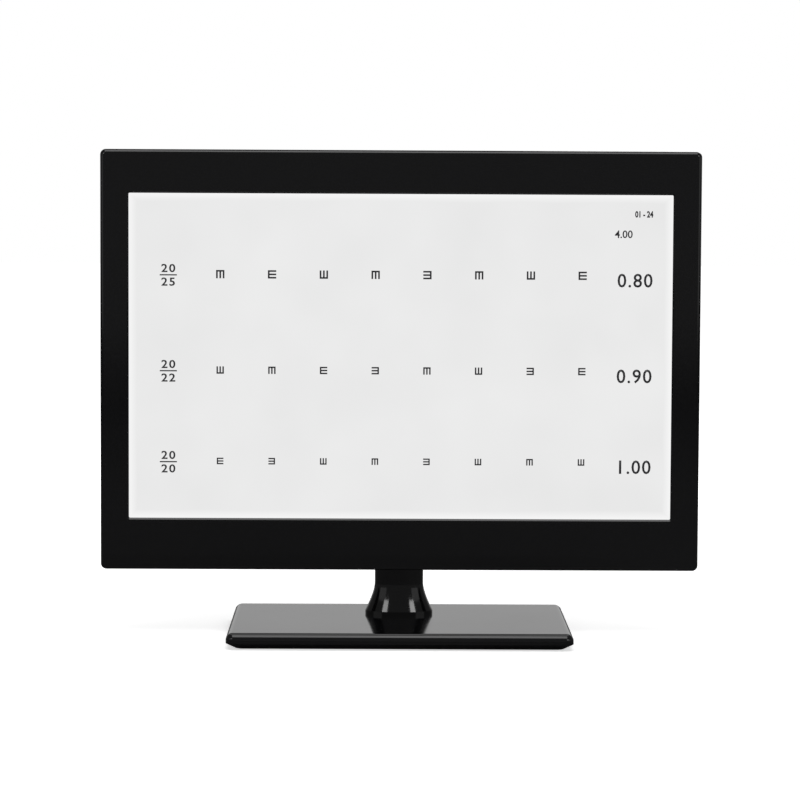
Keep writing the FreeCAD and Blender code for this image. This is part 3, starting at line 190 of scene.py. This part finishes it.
lamp("top_box", (0, -0.9, 2.4), (0, 0, 0.2), 2.0, 1.8, 28)
lamp("left_box", (-1.28, -1.87, 1.02), (0, 0, 0.05), 0.55, 0.32, 2.9)
lamp("right_box", (1.28, -1.87, 1.02), (0, 0, 0.05), 0.55, 0.32, 3.4)
lamp("back_box", (0.9, 1.9, 1.7), (0, 0.05, 0.25), 1.2, 1.2, 18)
lamp("left_rim", (-1.35, -0.95, 0.42), (-0.26, 0, 0.3), 0.9, 0.45, 0.45)
lamp("right_rim", (1.35, -0.95, 0.42), (0.26, 0, 0.3), 0.9, 0.45, 0.55)


# Base cover and neck shell: injection moulded ABS polished to a piano black.
# The neck is screwed down through the base from below.
def principled(tree, **sockets):
    """A Principled shader; its sockets are named with underscores for spaces."""
    return node(tree, "ShaderNodeBsdfPrincipled",
                {name.replace("_", " "): value for name, value in sockets.items()})


def noise(tree, size, detail=2, roughness=0.5):
    """Smooth noise whose blotches are about a given number of millimetres across."""
    where = node(tree, "ShaderNodeTexCoord").outputs["Object"]
    return node(tree, "ShaderNodeTexNoise", {"Vector": where, "Scale": 1 / (size * MM),
                                             "Detail": detail, "Roughness": roughness}).outputs[0]


def bump(tree, height, depth):
    """A normal from a pattern's height; depth is in millimetres."""
    return node(tree, "ShaderNodeBump", {"Height": height, "Strength": 1,
                                         "Distance": depth * MM}).outputs[0]


def finish(name, cloud, first, second, rough, marks=None, **sockets):
    """A material whose two colours run into each other in a cloud of some size and detail.

    Its roughness is one number, or a cloud's size and detail with its low and high. Its marks
    are bumps of some size, detail and depth. Fine marks are drawn two to five times coarser
    than real ones, so that they show. Sizes are in millimetres.
    """
    material, tree = blank(name)
    if isinstance(rough, tuple):
        size, detail, low, high = rough
        rough = ranged(tree, noise(tree, size, detail), low, high)
    if marks:
        size, detail, depth = marks
        sockets["Normal"] = bump(tree, noise(tree, size, detail), depth)
    shown(tree, principled(tree, Base_Color=mixed(tree, noise(tree, *cloud), first, second),
                           Roughness=rough, **sockets))
    return material


def paint(material, *names):
    """Gives CAD nodes a material."""
    for name in names:
        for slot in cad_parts[name].material_slots:
            slot.material = material


# Piano black ABS: a near mirror over black, with the faint waviness of a moulded face
# and haze where it has been wiped
piano_black = finish("piano_black_abs", (120, 2), "08080A", "0C0C0D", (70, 4, 0.07, 0.12),
                     (5, 1, 0.012), IOR=1.53)
paint(piano_black, "base_cover", "neck_shell")


# LCD cell: glass under a matt polarising film, lit from behind by the light guide.
# It lies in the panel's steel frame behind the bezel's window.
screen_low, screen_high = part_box("lcd_cell")
screen_middle = (screen_low + screen_high) / 2
SCREEN_WIDTH, SCREEN_HEIGHT = 474.4, 284
GLOW_EDGE = 8

# Matt film over a lit white picture: soft, even light that lifts a little at the edges.
# The film's grain is drawn coarser than real, so that it dulls reflections.
lit_film, tree = blank("lit_polariser_film")
where = node(tree, "ShaderNodeTexCoord").outputs["Object"]
spot = node(tree, "ShaderNodeSeparateXYZ", {0: where}).outputs
across = sums(tree, "ABSOLUTE", spot["X"])
up = sums(tree, "ABSOLUTE", sums(tree, "SUBTRACT", spot["Z"], screen_middle.z))
side = ranged(tree, across, 0, 1, (SCREEN_WIDTH / 2 - GLOW_EDGE) * MM, SCREEN_WIDTH / 2 * MM)
rise = ranged(tree, up, 0, 1, (SCREEN_HEIGHT / 2 - GLOW_EDGE) * MM, SCREEN_HEIGHT / 2 * MM)
cloudy = ranged(tree, noise(tree, 80), 0, 0.3)
lift = sums(tree, "MAXIMUM", cloudy, sums(tree, "MAXIMUM", side, rise))
shown(tree, principled(
    tree,
    Base_Color=colour("101112"),
    Roughness=0.38,
    IOR=1.49,
    Normal=bump(tree, noise(tree, 0.9, 1), 0.01),
    Emission_Color=mixed(tree, lift, "E6E6E6", "F5F5F5"),
    Emission_Strength=1,
))
paint(lit_film, "lcd_cell")


# Chart: three rows of tumbling E signs with their fractions and decimals, as dark pixels
# of the lit picture. A sign's limbs are a fifth of its height, which is 5 minutes of arc at 4 m.
def made(name, bm, material, body, slot, *nodes):
    """Ends a bmesh as a piece that rides on a body and stands for the CAD nodes named."""
    mesh = bpy.data.meshes.new(name)
    bm.to_mesh(mesh)
    bm.free()
    mesh.materials.append(material)
    item = bpy.data.objects.new(name, mesh)
    bpy.context.scene.collection.objects.link(item)
    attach(item, body)
    if nodes:
        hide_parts(*nodes)
    return item


def flat_sign(name, bm, place, thickness, material, slot):
    """Ends faces drawn round the origin in the XZ plane as a sign at a place on the display."""
    grown = bmesh.ops.extrude_face_region(bm, geom=bm.faces[:], use_keep_orig=True)["geom"]
    bmesh.ops.translate(bm, vec=(0, thickness * MM, 0),
                        verts=[item for item in grown if isinstance(item, bmesh.types.BMVert)])
    bmesh.ops.recalc_face_normals(bm, faces=bm.faces)
    bmesh.ops.translate(bm, vec=place, verts=bm.verts)
    return made(name, bm, material, "display", slot)


def bar(bm, middle, size):
    """An upright rectangle in the XZ plane; its middle and size are in millimetres."""
    drawn = bmesh.ops.create_grid(bm, x_segments=1, y_segments=1, size=0.5)["verts"]
    bmesh.ops.scale(bm, vec=(size[0] * MM, size[1] * MM, 1), verts=drawn)
    bmesh.ops.rotate(bm, cent=(0, 0, 0), matrix=Matrix.Rotation(math.pi / 2, 3, "X"), verts=drawn)
    bmesh.ops.translate(bm, vec=(middle[0] * MM, 0, middle[1] * MM), verts=drawn)
    return drawn


def letter_e(bm, middle, height, turn):
    """An E of three limbs on a back, turned by quarter turns about its middle."""
    limb = height / 5
    bars = bar(bm, (middle - 2 * limb, 0), (limb, height))
    for step in (-2, 0, 2):
        bars += bar(bm, (middle + limb / 2, step * limb), (4 * limb, limb))
    bmesh.ops.rotate(bm, cent=(middle * MM, 0, 0), verts=bars,
                     matrix=Matrix.Rotation(turn * math.pi / 2, 3, "Y"))


# Places are in millimetres from the display's middle and from the table, turns in quarters
TEST_DISTANCE = 4000
SIGN_ANGLE = math.radians(5 / 60)
ACUITIES = (0.8, 0.9, 1.0)
ROW_LEVELS = (317.4, 233.6, 153.8)
FIRST_SIGN, LAST_SIGN = -157.5, 158.8
TURNS = ((1, 0, 3, 1, 2, 1, 3, 0), (3, 1, 0, 2, 1, 3, 2, 0), (0, 2, 3, 1, 2, 3, 1, 3))
PICTURE_THICK = 0.05
picture = Vector((0, screen_low.y - PICTURE_THICK * MM, 0))

# Dark pixels: the film over closed crystal, nearly black with a trace of the light behind
dark_film = finish("dark_polariser_film", (3, 2), "101012", "17171A", 0.38, IOR=1.49,
                   Emission_Color=colour("1E1E20"), Emission_Strength=1)

for row, (acuity, level, turns) in enumerate(zip(ACUITIES, ROW_LEVELS, TURNS), 1):
    height = TEST_DISTANCE * SIGN_ANGLE / acuity
    pitch = (LAST_SIGN - FIRST_SIGN) / (len(turns) - 1)
    bm = bmesh.new()
    for i, turn in enumerate(turns):
        letter_e(bm, FIRST_SIGN + pitch * i, height, turn)
    flat_sign(f"chart_row_{row}", bm, picture + Vector((0, 0, level * MM)), PICTURE_THICK,
              dark_film, "screen")


# A digit's height as a share of the font's size
DIGIT_SHARE = 0.729


def numbers(text, digit, stretch, weight, apart=1.0, gap=1.0):
    """Numbers drawn flat in the XZ plane round the origin; digit and weight are in millimetres."""
    curve = bpy.data.curves.new("numbers", "FONT")
    curve.body = text
    curve.align_x = "CENTER"
    curve.size = digit * MM / DIGIT_SHARE
    curve.offset = weight * MM
    curve.space_character = apart
    curve.space_line = gap
    curve.resolution_u = 3
    drawn = bpy.data.objects.new("numbers", curve)
    mesh = bpy.data.meshes.new_from_object(drawn)
    bm = bmesh.new()
    bm.from_mesh(mesh)
    bpy.data.objects.remove(drawn)
    bpy.data.meshes.remove(mesh)
    bmesh.ops.remove_doubles(bm, verts=bm.verts, dist=1e-6)
    levels = [vert.co.y for vert in bm.verts]
    bmesh.ops.translate(bm, vec=(0, -(min(levels) + max(levels)) / 2, 0), verts=bm.verts)
    bmesh.ops.scale(bm, vec=(stretch, 1, 1), verts=bm.verts)
    bmesh.ops.rotate(bm, cent=(0, 0, 0), matrix=Matrix.Rotation(math.pi / 2, 3, "X"),
                     verts=bm.verts)
    return bm


NUMBERS = (("20\n25", "0.80"), ("20\n22", "0.90"), ("20\n20", "1.00"))
FRACTION_PLACE, FRACTION_DIGIT, FRACTION_DROP, FRACTION_BAR = -202.8, 7.2, 0.8, (15, 1.1)
DECIMAL_PLACE, DECIMAL_DIGIT, DECIMAL_DROP = 204.6, 12.2, 4.0
for row, ((fraction, decimal), level) in enumerate(zip(NUMBERS, ROW_LEVELS), 1):
    bm = numbers(fraction, FRACTION_DIGIT, stretch=1.15, weight=0.2, apart=1.2, gap=1.2)
    bar(bm, (0, 0), FRACTION_BAR)
    flat_sign(f"chart_fraction_{row}", bm,
              picture + Vector((FRACTION_PLACE, 0, level - FRACTION_DROP)) * MM, PICTURE_THICK,
              dark_film, "screen")
    bm = numbers(decimal, DECIMAL_DIGIT, stretch=0.98, weight=0.2, apart=1.12)
    flat_sign(f"chart_decimal_{row}", bm,
              picture + Vector((DECIMAL_PLACE, 0, level - DECIMAL_DROP)) * MM, PICTURE_THICK,
              dark_film, "screen")
for name, text, place, level, digit, stretch, weight in (
        ("chart_count", "01 - 24", 212, 371.2, 5.4, 0.74, 0.3),
        ("chart_distance", "4.00", 194.4, 353.8, 6.8, 0.98, 0.14)):
    flat_sign(name, numbers(text, digit, stretch, weight), picture + Vector((place, 0, level)) * MM,
              PICTURE_THICK, dark_film, "screen")


# Front bezel: one moulded frame in the same piano black, clipped and screwed to the rear
# cover. Its window has a bevelled edge, and the upper left corner of the frame is bare.
paint(piano_black, "front_bezel")


# Rear cover and keys: ABS moulded in a spark-eroded steel tool. The cover is held by six
# screws in wells; the keys are caps of the same plastic that stand through it.
# Spark-eroded ABS: an even grain, dull black, a little paler in broad patches. The grain is
# drawn at 0.9 mm, coarser than the real 0.2 mm, so that it shows.
grained_black, tree = blank("spark_eroded_abs")
grain = noise(tree, 0.9, 2, 0.6)
shown(tree, principled(
    tree,
    Base_Color=mixed(tree, ranged(tree, noise(tree, 60, 3), 0, 1), "1D1E1F", "252627"),
    Roughness=ranged(tree, grain, 0.42, 0.58),
    Normal=bump(tree, grain, 0.07),
    IOR=1.53,
))
paint(grained_black, "rear_cover", "power_inlet", "power_key", "menu_key", "source_key",
      "down_key", "up_key")


# Signs beside the keys: pale ink, pad-printed on the flat of the rear cover.
# From the bottom: power, menu, picture source, down and up.
def ring(bm, radius, width, start, sweep):
    """A flat arc in the XZ plane; angles are in degrees from the right, upwards."""
    inner, outer = (bm.verts.new(((radius + side * width / 2) * MM, 0, 0)) for side in (-1, 1))
    bmesh.ops.rotate(bm, cent=(0, 0, 0), matrix=Matrix.Rotation(math.radians(-start), 3, "Y"),
                     verts=[inner, outer])
    bmesh.ops.spin(bm, geom=[inner, outer, bm.edges.new((inner, outer))], cent=(0, 0, 0),
                   axis=(0, -1, 0), angle=math.radians(sweep), steps=20)


def arrow(bm, middle, size, turn):
    """A flat triangle in the XZ plane that points up, or as far round as turn says."""
    drawn = bmesh.ops.create_circle(bm, cap_ends=True, segments=3, radius=size * MM)["verts"]
    bmesh.ops.rotate(bm, cent=(0, 0, 0), matrix=Matrix.Rotation(math.pi / 2, 3, "X"), verts=drawn)
    bmesh.ops.rotate(bm, cent=(0, 0, 0), verts=drawn,
                     matrix=Matrix.Rotation(math.radians(turn), 3, "Y"))
    bmesh.ops.translate(bm, vec=(middle[0] * MM, 0, middle[1] * MM), verts=drawn)


# Each sign's rings by radius, stroke, start and sweep, its bars by middle and size, and its
# arrows by middle, size and turn, in millimetres and degrees
STROKE, LINE = 0.45, 3.6
SIGNS = {
    "power": ([(1.7, STROKE, 120, 300)], [((0, 1.1), (STROKE, 2.2))], []),
    "menu": ([], [((0, step), (LINE, STROKE)) for step in (-1.3, 0, 1.3)], []),
    "source": ([], [((0, 1.5), (LINE, STROKE)), ((0, -1.5), (LINE, STROKE)),
                    ((-LINE / 2, 0), (STROKE, 3 + STROKE)), ((1.2, 0), (1.6, STROKE))],
               [((0.3, 0), 0.9, -90)]),
    "down": ([], [], [((0, 0), 1.9, 180)]),
    "up": ([], [], [((0, 0), 1.9, 0)]),
}
SIGN_ASIDE, INK_THICK, KEY_PROUD = 9.5, 0.02, 1

# Pad-printed ink: pale grey and matt, a little thin in places
pale_ink = finish("pad_printed_ink", (0.5, 3), "A9ABAC", "C2C4C5", (0.8, 2, 0.45, 0.6),
                  (0.4, 2, 0.01))
for name, (rings, bars, arrows) in SIGNS.items():
    low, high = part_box(f"{name}_key")
    bm = bmesh.new()
    for shapes, draw in ((rings, ring), (bars, bar), (arrows, arrow)):
        for shape in shapes:
            draw(bm, *shape)
    flat_sign(f"{name}_sign", bm, Vector(((low.x + high.x) / 2 - SIGN_ASIDE * MM,
                                          high.y - KEY_PROUD * MM, (low.z + high.z) / 2)),
              INK_THICK, pale_ink, "white_sheet")


# Screws in the wells of the rear cover and under the base: cold headed steel, zinc plated.
# Each has a domed head with a cross recess; the shanks lie hidden in their bosses.
def turned(profile, steps=28):
    """A round shape: radius and height pairs, in millimetres, spun about Z."""
    bm = bmesh.new()
    points = [bm.verts.new((radius * MM, 0, height * MM)) for radius, height in profile]
    edges = [bm.edges.new(pair) for pair in zip(points, points[1:])]
    bmesh.ops.spin(bm, geom=points + edges, cent=(0, 0, 0), axis=(0, 0, 1), angle=2 * math.pi,
                   steps=steps, use_merge=True)
    bmesh.ops.remove_doubles(bm, verts=bm.verts, dist=1e-7)
    bmesh.ops.recalc_face_normals(bm, faces=bm.faces)
    return bm


def block(bm, middle, size):
    """A box; its middle and size are in millimetres."""
    drawn = bmesh.ops.create_cube(bm, size=1)["verts"]
    bmesh.ops.scale(bm, vec=[side * MM for side in size], verts=drawn)
    bmesh.ops.translate(bm, vec=[place * MM for place in middle], verts=drawn)
    return drawn


def carved(bm, cutter):
    """A closed shape with another cut out of it."""
    items = []
    for part in (bm, cutter):
        mesh = bpy.data.meshes.new("carving")
        part.to_mesh(mesh)
        part.free()
        items.append(bpy.data.objects.new("carving", mesh))
        bpy.context.scene.collection.objects.link(items[-1])
    recess = items[0].modifiers.new("recess", "BOOLEAN")
    recess.object, recess.solver = items[1], "EXACT"
    result = bmesh.new()
    result.from_object(items[0], bpy.context.evaluated_depsgraph_get())
    for item in items:
        mesh = item.data
        bpy.data.objects.remove(item)
        bpy.data.meshes.remove(mesh)
    return result


def repeated(bm, turn, places):
    """One shape, turned and set down at several places."""
    mesh = bpy.data.meshes.new("pattern")
    bm.to_mesh(mesh)
    bm.free()
    result = bmesh.new()
    for place in places:
        start = len(result.verts)
        result.from_mesh(mesh)
        result.verts.ensure_lookup_table()
        bmesh.ops.transform(result, matrix=Matrix.Translation(place) @ turn,
                            verts=result.verts[start:])
    bpy.data.meshes.remove(mesh)
    return result


def rounded_off(item, angle=40):
    """Smooth shading that keeps edges sharper than an angle."""
    item.data.shade_smooth()
    item.data.set_sharp_from_angle(angle=math.radians(angle))


def within(low, high, radius):
    """The middles of two round pieces, of a radius in millimetres, that end at low and high."""
    return low + radius * MM, high - radius * MM


# The head's outline as shares of its radius and rise, and the tip's narrowing and height.
# The cross as shares of the head: span and width, level, and size at its foot.
DOME = ((1, 0), (1, 0.35), (0.93, 0.62), (0.72, 0.86), (0.42, 0.97), (0, 1))
TIP_IN, TIP_HIGH = 0.4, 0.5
CROSS_SPAN, CROSS_WIDTH, CROSS_LEVEL, CROSS_FOOT = 1.12, 0.24, 0.9, 0.55


def screw(head, rise, shank, length):
    """A screw whose head stands up from the origin; its sizes are in millimetres."""
    bm = turned([(0, -length), (shank - TIP_IN, -length), (shank, TIP_HIGH - length), (shank, 0)]
                + [(out * head, up * rise) for out, up in DOME])
    span, width, level = CROSS_SPAN * head, CROSS_WIDTH * head, CROSS_LEVEL * rise
    for size in ((span, width, rise), (width, span, rise)):
        arm = bmesh.new()
        drawn = block(arm, (0, 0, level), size)
        foot = [vert for vert in drawn if vert.co.z < level * MM]
        bmesh.ops.scale(arm, vec=(CROSS_FOOT, CROSS_FOOT, 1), verts=foot)
        bm = carved(bm, arm)
    return bm


# Zinc plate: cool grey with a soft sheen, clouded by the bath
zinc = finish("zinc_plated_steel", (6, 3), "9A9DA0", "B4B6B8", (3, 3, 0.28, 0.42), (1, 2, 0.01),
              Metallic=1)
HEAD, HEAD_RISE, SHANK = 3, 2, 1.5
NECK_HEAD, NECK_HEAD_RISE, NECK_SHANK = 3.6, 2.4, 2
BACKWARD = Matrix.Rotation(-math.pi / 2, 4, "X")
DOWNWARD = Matrix.Rotation(math.pi, 4, "X")

low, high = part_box("rear_cover_screws")
left, right = within(low.x, high.x, HEAD)
places = [Vector((x, high.y - HEAD_RISE * MM, z))
          for x in (left, 0, right) for z in within(low.z, high.z, HEAD)]
bm = screw(HEAD, HEAD_RISE, SHANK, (high.y - low.y) / MM - HEAD_RISE)
rounded_off(made("cover_fixings", repeated(bm, BACKWARD, places), zinc, "display", "steel",
                 "rear_cover_screws"))

low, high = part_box("base_screws")
places = [Vector((x, y, low.z + HEAD_RISE * MM))
          for x in within(low.x, high.x, HEAD) for y in within(low.y, high.y, HEAD)]
bm = screw(HEAD, HEAD_RISE, SHANK, (high.z - low.z) / MM - HEAD_RISE)
rounded_off(made("base_fixings", repeated(bm, DOWNWARD, places), zinc, "stand", "steel",
                 "base_screws"))

low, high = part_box("neck_screws")
middle, seat = (low + high) / 2, low.z + NECK_HEAD_RISE * MM
places = [Vector((x, middle.y, seat)) for x in within(low.x, high.x, NECK_HEAD)]
places += [Vector((0, y, seat)) for y in within(low.y, high.y, NECK_HEAD)]
bm = screw(NECK_HEAD, NECK_HEAD_RISE, NECK_SHANK, (high.z - low.z) / MM - NECK_HEAD_RISE)
rounded_off(made("neck_fixings", repeated(bm, DOWNWARD, places), zinc, "stand", "steel",
                 "neck_screws"))


# Wall mount inserts: turned brass sleeves set in the bosses of the rear cover,
# with a chamfered mouth and an M4 thread, drawn as rings at its pitch.
INSERT, BORE, MOUTH_CHAMFER, BORE_FLOOR = 3.5, 2, 0.3, 0.6
THREAD_DEPTH, THREAD_PITCH, THREAD_START, UNTHREADED = 0.25, 0.7, 0.5, 1
# Turned brass: warm yellow with patches of tarnish, bright where the tool cut it last
brass = finish("turned_brass", (2, 2), "B08D4C", "C6A564", (1, 2, 0.25, 0.4), (0.5, 2, 0.01),
               Metallic=1)
low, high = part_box("wall_inserts")
depth = (high.y - low.y) / MM
profile = [(0, -depth), (INSERT, -depth), (INSERT, -MOUTH_CHAMFER), (INSERT - MOUTH_CHAMFER, 0),
           (BORE + 2 * THREAD_DEPTH, 0)]
for i in range(int((depth - UNTHREADED) / THREAD_PITCH)):
    crest = -THREAD_START - i * THREAD_PITCH
    profile += [(BORE, crest), (BORE + THREAD_DEPTH, crest - THREAD_PITCH / 2)]
profile += [(BORE, BORE_FLOOR - depth), (0, BORE_FLOOR - depth)]
places = [Vector((x, high.y, z)) for x in within(low.x, high.x, INSERT)
          for z in within(low.z, high.z, INSERT)]
rounded_off(made("threaded_inserts", repeated(turned(profile), BACKWARD, places), brass, "display",
                 "brass", "wall_inserts"), 25)


# Sockets in the underside: nickel plated shells stamped from brass, soldered to the main
# board. Their gold contacts and the computer socket's shell and hexagon screws are added.
# Nickel plate: a warm pale grey, bright and a little clouded
nickel = finish("nickel_plated_brass", (3, 2), "B6B4AE", "CBC9C2", (2, 2, 0.16, 0.28), Metallic=1)
paint(nickel, "hdmi_socket", "usb_socket")
# Flash gold: a thin clear yellow, duller where plugs have wiped it
gold = finish("flash_gold_contacts", (1, 2), "C9A24B", "DDBB6A", (0.8, 2, 0.2, 0.32), Metallic=1)

# Each socket with the name of its contacts, the thickness of its tongue, the contacts' count,
# pitch and width, and the sides of the tongue that carry them
CONTACT_THICK, CONTACT_LENGTH, CONTACT_INSET = 0.06, 6, 2.4
for socket, name, tongue, count, pitch, width, sides in (
        ("hdmi_socket", "picture_contacts", 1, 9, 1.1, 0.5, (-1, 1)),
        ("usb_socket", "data_contacts", 1.8, 4, 2.3, 1.1, (1,))):
    low, high = (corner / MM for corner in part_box(socket))
    middle = (low + high) / 2
    bm = bmesh.new()
    for side in sides:
        for i in range(count):
            block(bm, (middle.x + (i - (count - 1) / 2) * pitch,
                       middle.y + side * (tongue + CONTACT_THICK) / 2,
                       low.z + CONTACT_INSET + CONTACT_LENGTH / 2),
                  (width, CONTACT_THICK, CONTACT_LENGTH))
    made(name, bm, gold, "display", "brass")


def d_shape(bm, middle, size, slant, corner):
    """A box with the section of a computer socket: its back is narrower than its front."""
    drawn = block(bm, middle, size)
    for vert in drawn:
        if vert.co.y > middle[1] * MM:
            vert.co.x -= math.copysign(slant * MM, vert.co.x - middle[0] * MM)
    upright = {edge for vert in drawn for edge in vert.link_edges
               if abs(edge.verts[0].co.z - edge.verts[1].co.z) > size[2] / 2 * MM}
    bmesh.ops.bevel(bm, geom=list(upright), offset=corner * MM, affect="EDGES", segments=4,
                    profile=0.5, material=-1, clamp_overlap=True)


# The computer socket's shell, the nylon face in it, and the hexagon screws beside it.
# Depths run up from the shell's mouth; the block behind starts inside the cover's wall.
SHELL, SHELL_WALL, SHELL_SLANT, SHELL_CORNER = (16.6, 8.2), 0.45, 1.1, 1.6
SHELL_DEPTH, OVERCUT = 4.9, 0.1
FACE_START, FACE_END, FACE_PLAY = 0.4, 4.8, 0.15
HEXAGON, HEXAGON_RISE, HEXAGON_ASIDE, HEXAGON_RIM = 2.75, 2.6, 12.5, 1.16
HEXAGON_STEP, HEXAGON_DEPTH = 0.02, 2.08
INLET_FLANGE, COVER_WALL = 2, 2.5
low, high = (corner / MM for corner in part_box("vga_socket"))
middle = (low + high) / 2
cover_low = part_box("power_inlet")[0].z / MM + INLET_FLANGE
inside = cover_low + COVER_WALL
hollow = [side - 2 * SHELL_WALL for side in SHELL]
shell, room = bmesh.new(), bmesh.new()
d_shape(shell, (middle.x, middle.y, (low.z + inside) / 2), (*SHELL, inside - low.z),
        SHELL_SLANT, SHELL_CORNER)
d_shape(room, (middle.x, middle.y, low.z + (SHELL_DEPTH - OVERCUT) / 2),
        (*hollow, SHELL_DEPTH + OVERCUT), SHELL_SLANT, SHELL_CORNER - SHELL_WALL)
bm = carved(shell, room)
block(bm, (middle.x, middle.y, (high.z + inside) / 2),
      (high.x - low.x, high.y - low.y, high.z - inside))
for side in (-1, 1):
    hexagon = bmesh.ops.create_cone(bm, cap_ends=True, segments=6, radius1=HEXAGON * MM,
                                    radius2=HEXAGON * MM, depth=HEXAGON_RISE * MM)["verts"]
    end = min({face for vert in hexagon for face in vert.link_faces},
              key=lambda face: face.calc_center_median().z)
    bmesh.ops.inset_individual(bm, faces=[end], thickness=HEXAGON_RIM * MM)
    bmesh.ops.inset_individual(bm, faces=[end], thickness=HEXAGON_STEP * MM)
    bmesh.ops.translate(bm, vec=(0, 0, HEXAGON_DEPTH * MM), verts=end.verts)
    drawn = [vert for vert in bm.verts if vert.co.length < 2 * HEXAGON * MM]
    bmesh.ops.translate(bm, verts=drawn, vec=Vector((
        middle.x + side * HEXAGON_ASIDE, middle.y, cover_low - HEXAGON_RISE / 2)) * MM)
rounded_off(made("computer_socket", bm, nickel, "display", "socket_metal", "vga_socket"))

# Blue glass-filled nylon: deep blue and satin, with fifteen dark holes in three rows
nylon = finish("blue_nylon", (1.5, 3), "13357A", "1A418C", (0.6, 2, 0.4, 0.55), IOR=1.53)
HOLE, HOLE_DEPTH, HOLE_PITCH, HOLE_SHIFT, LINE_PITCH = 0.5, 1.5, 2.3, 0.5, 1.95
bm, holes = bmesh.new(), bmesh.new()
d_shape(bm, (middle.x, middle.y, low.z + (FACE_START + FACE_END) / 2),
        (*(side - 2 * FACE_PLAY for side in hollow), FACE_END - FACE_START), SHELL_SLANT,
        SHELL_CORNER - SHELL_WALL)
for line in (-1, 0, 1):
    for i in range(5):
        drawn = bmesh.ops.create_cone(holes, cap_ends=True, segments=10, radius1=HOLE * MM,
                                      radius2=HOLE * MM, depth=2 * HOLE_DEPTH * MM)["verts"]
        bmesh.ops.translate(holes, verts=drawn, vec=Vector((
            middle.x + (i - 2) * HOLE_PITCH + line * HOLE_SHIFT,
            middle.y + line * LINE_PITCH, low.z + FACE_START)) * MM)
made("computer_socket_face", carved(bm, holes), nylon, "display", "gloss_black")

# Mains inlet blades: stamped brass, nickel plated, with chamfered ends
low, high = (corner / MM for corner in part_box("inlet_pins"))
middle = (low + high) / 2
BLADE, BLADE_CHAMFER = (2, 4), 0.5
bm = bmesh.new()
for x, y in ((low.x + BLADE[0] / 2, low.y + BLADE[1] / 2), (middle.x, high.y - BLADE[1] / 2),
             (high.x - BLADE[0] / 2, low.y + BLADE[1] / 2)):
    block(bm, (x, y, middle.z), (*BLADE, high.z - low.z))
tips = [edge for edge in bm.edges if all(vert.co.z < middle.z * MM for vert in edge.verts)]
bmesh.ops.bevel(bm, geom=tips, offset=BLADE_CHAMFER * MM, affect="EDGES", segments=2, profile=0.5,
                material=-1, clamp_overlap=True)
made("inlet_blades", bm, nickel, "display", "socket_metal", "inlet_pins")


# Ballast plate and pads under the base: black enamelled steel, and domed rubber feet that
# are stuck to it.
# Stoved enamel: a soft black gloss with a slight orange peel
enamel = finish("black_enamelled_steel", (25, 3), "121314", "1B1C1E", (2, 2, 0.3, 0.45),
                (1.5, 1, 0.02))
paint(enamel, "base_ballast")
# Moulded rubber: dull charcoal, with a fine rough skin that takes no highlight
rubber = finish("moulded_rubber", (8, 3), "1A1A1A", "252525", 0.85, (0.8, 2, 0.03), IOR=1.52)
PAD, PAD_EDGE, PAD_FLAT, EDGE_STEPS = 8, 1.4, 5.4, 4
low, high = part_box("base_pads")
tall = (high.z - low.z) / MM
profile = [(0, 0), (PAD_FLAT, 0)]
for i in range(EDGE_STEPS + 1):
    angle = math.radians(90 / EDGE_STEPS * i)
    profile.append((PAD - PAD_EDGE * (1 - math.sin(angle)), PAD_EDGE * (1 - math.cos(angle))))
profile += [(PAD, tall), (0, tall)]
places = [Vector((x, y, 0)) for x in within(low.x, high.x, PAD) for y in within(low.y, high.y, PAD)]
rounded_off(made("rubber_feet", repeated(turned(profile, 40), Matrix(), places), rubber, "stand",
                 "rubber", "base_pads"))


# Steel work: the upright in the neck, the friction hinge, the carrier plate and the panel's
# frame and tray, pressed or turned and zinc plated.
paint(zinc, "neck_upright", "hinge_yoke", "hinge_bracket", "bracket_screws", "hinge_pin",
      "friction_washers", "disc_springs", "hinge_nut", "panel_front_frame", "panel_rear_tray",
      "carrier_plate", "carrier_screws", "board_screws", "key_board_screws")


# Inside of the panel and the boards: seen only through the vents and the throat.
# Closed cell foam: charcoal and pitted, with no shine
foam = finish("closed_cell_foam", (0.6, 2), "1C1C1C", "2B2B2B", 0.9, (0.5, 2, 0.08))
paint(foam, "panel_gasket")
# White polyester: clean and satin, so that it glows where light reaches it
film = finish("white_polyester_film", (40, 2), "E6E7E5", "EDEEEC", 0.5)
paint(film, "diffuser_sheets", "reflector_sheet", "panel_mould_frame", "led_bar")
# Clear acrylic: polished, and seen by its edges
guide = finish("clear_acrylic", (30, 2), "F0F4F2", "F6F8F7", 0.05, IOR=1.49, Transmission_Weight=1)
paint(guide, "light_guide")
# Board lacquer: dark green with some gloss, over the glass weave
board_lacquer = finish("green_board_lacquer", (1.5, 2), "0F4A2C", "17603A", 0.35, (1.2, 1, 0.03),
                       IOR=1.55)
paint(board_lacquer, "main_board", "power_board", "panel_driver_board", "key_board",
      "receiver_board")
# Polyimide: an amber brown film with a slight gloss
ribbon_skin = finish("polyimide_film", (5, 2), "A5662A", "B97A3A", 0.3, IOR=1.7)
paint(ribbon_skin, "panel_ribbon")
# Smoke polycarbonate: a glossy red-black window that lets a little light through
smoke = finish("smoke_polycarbonate", (6, 2), "14090A", "1C0C0E", 0.08, IOR=1.58,
               Transmission_Weight=0.4)
paint(smoke, "receiver_window")

low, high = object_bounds()
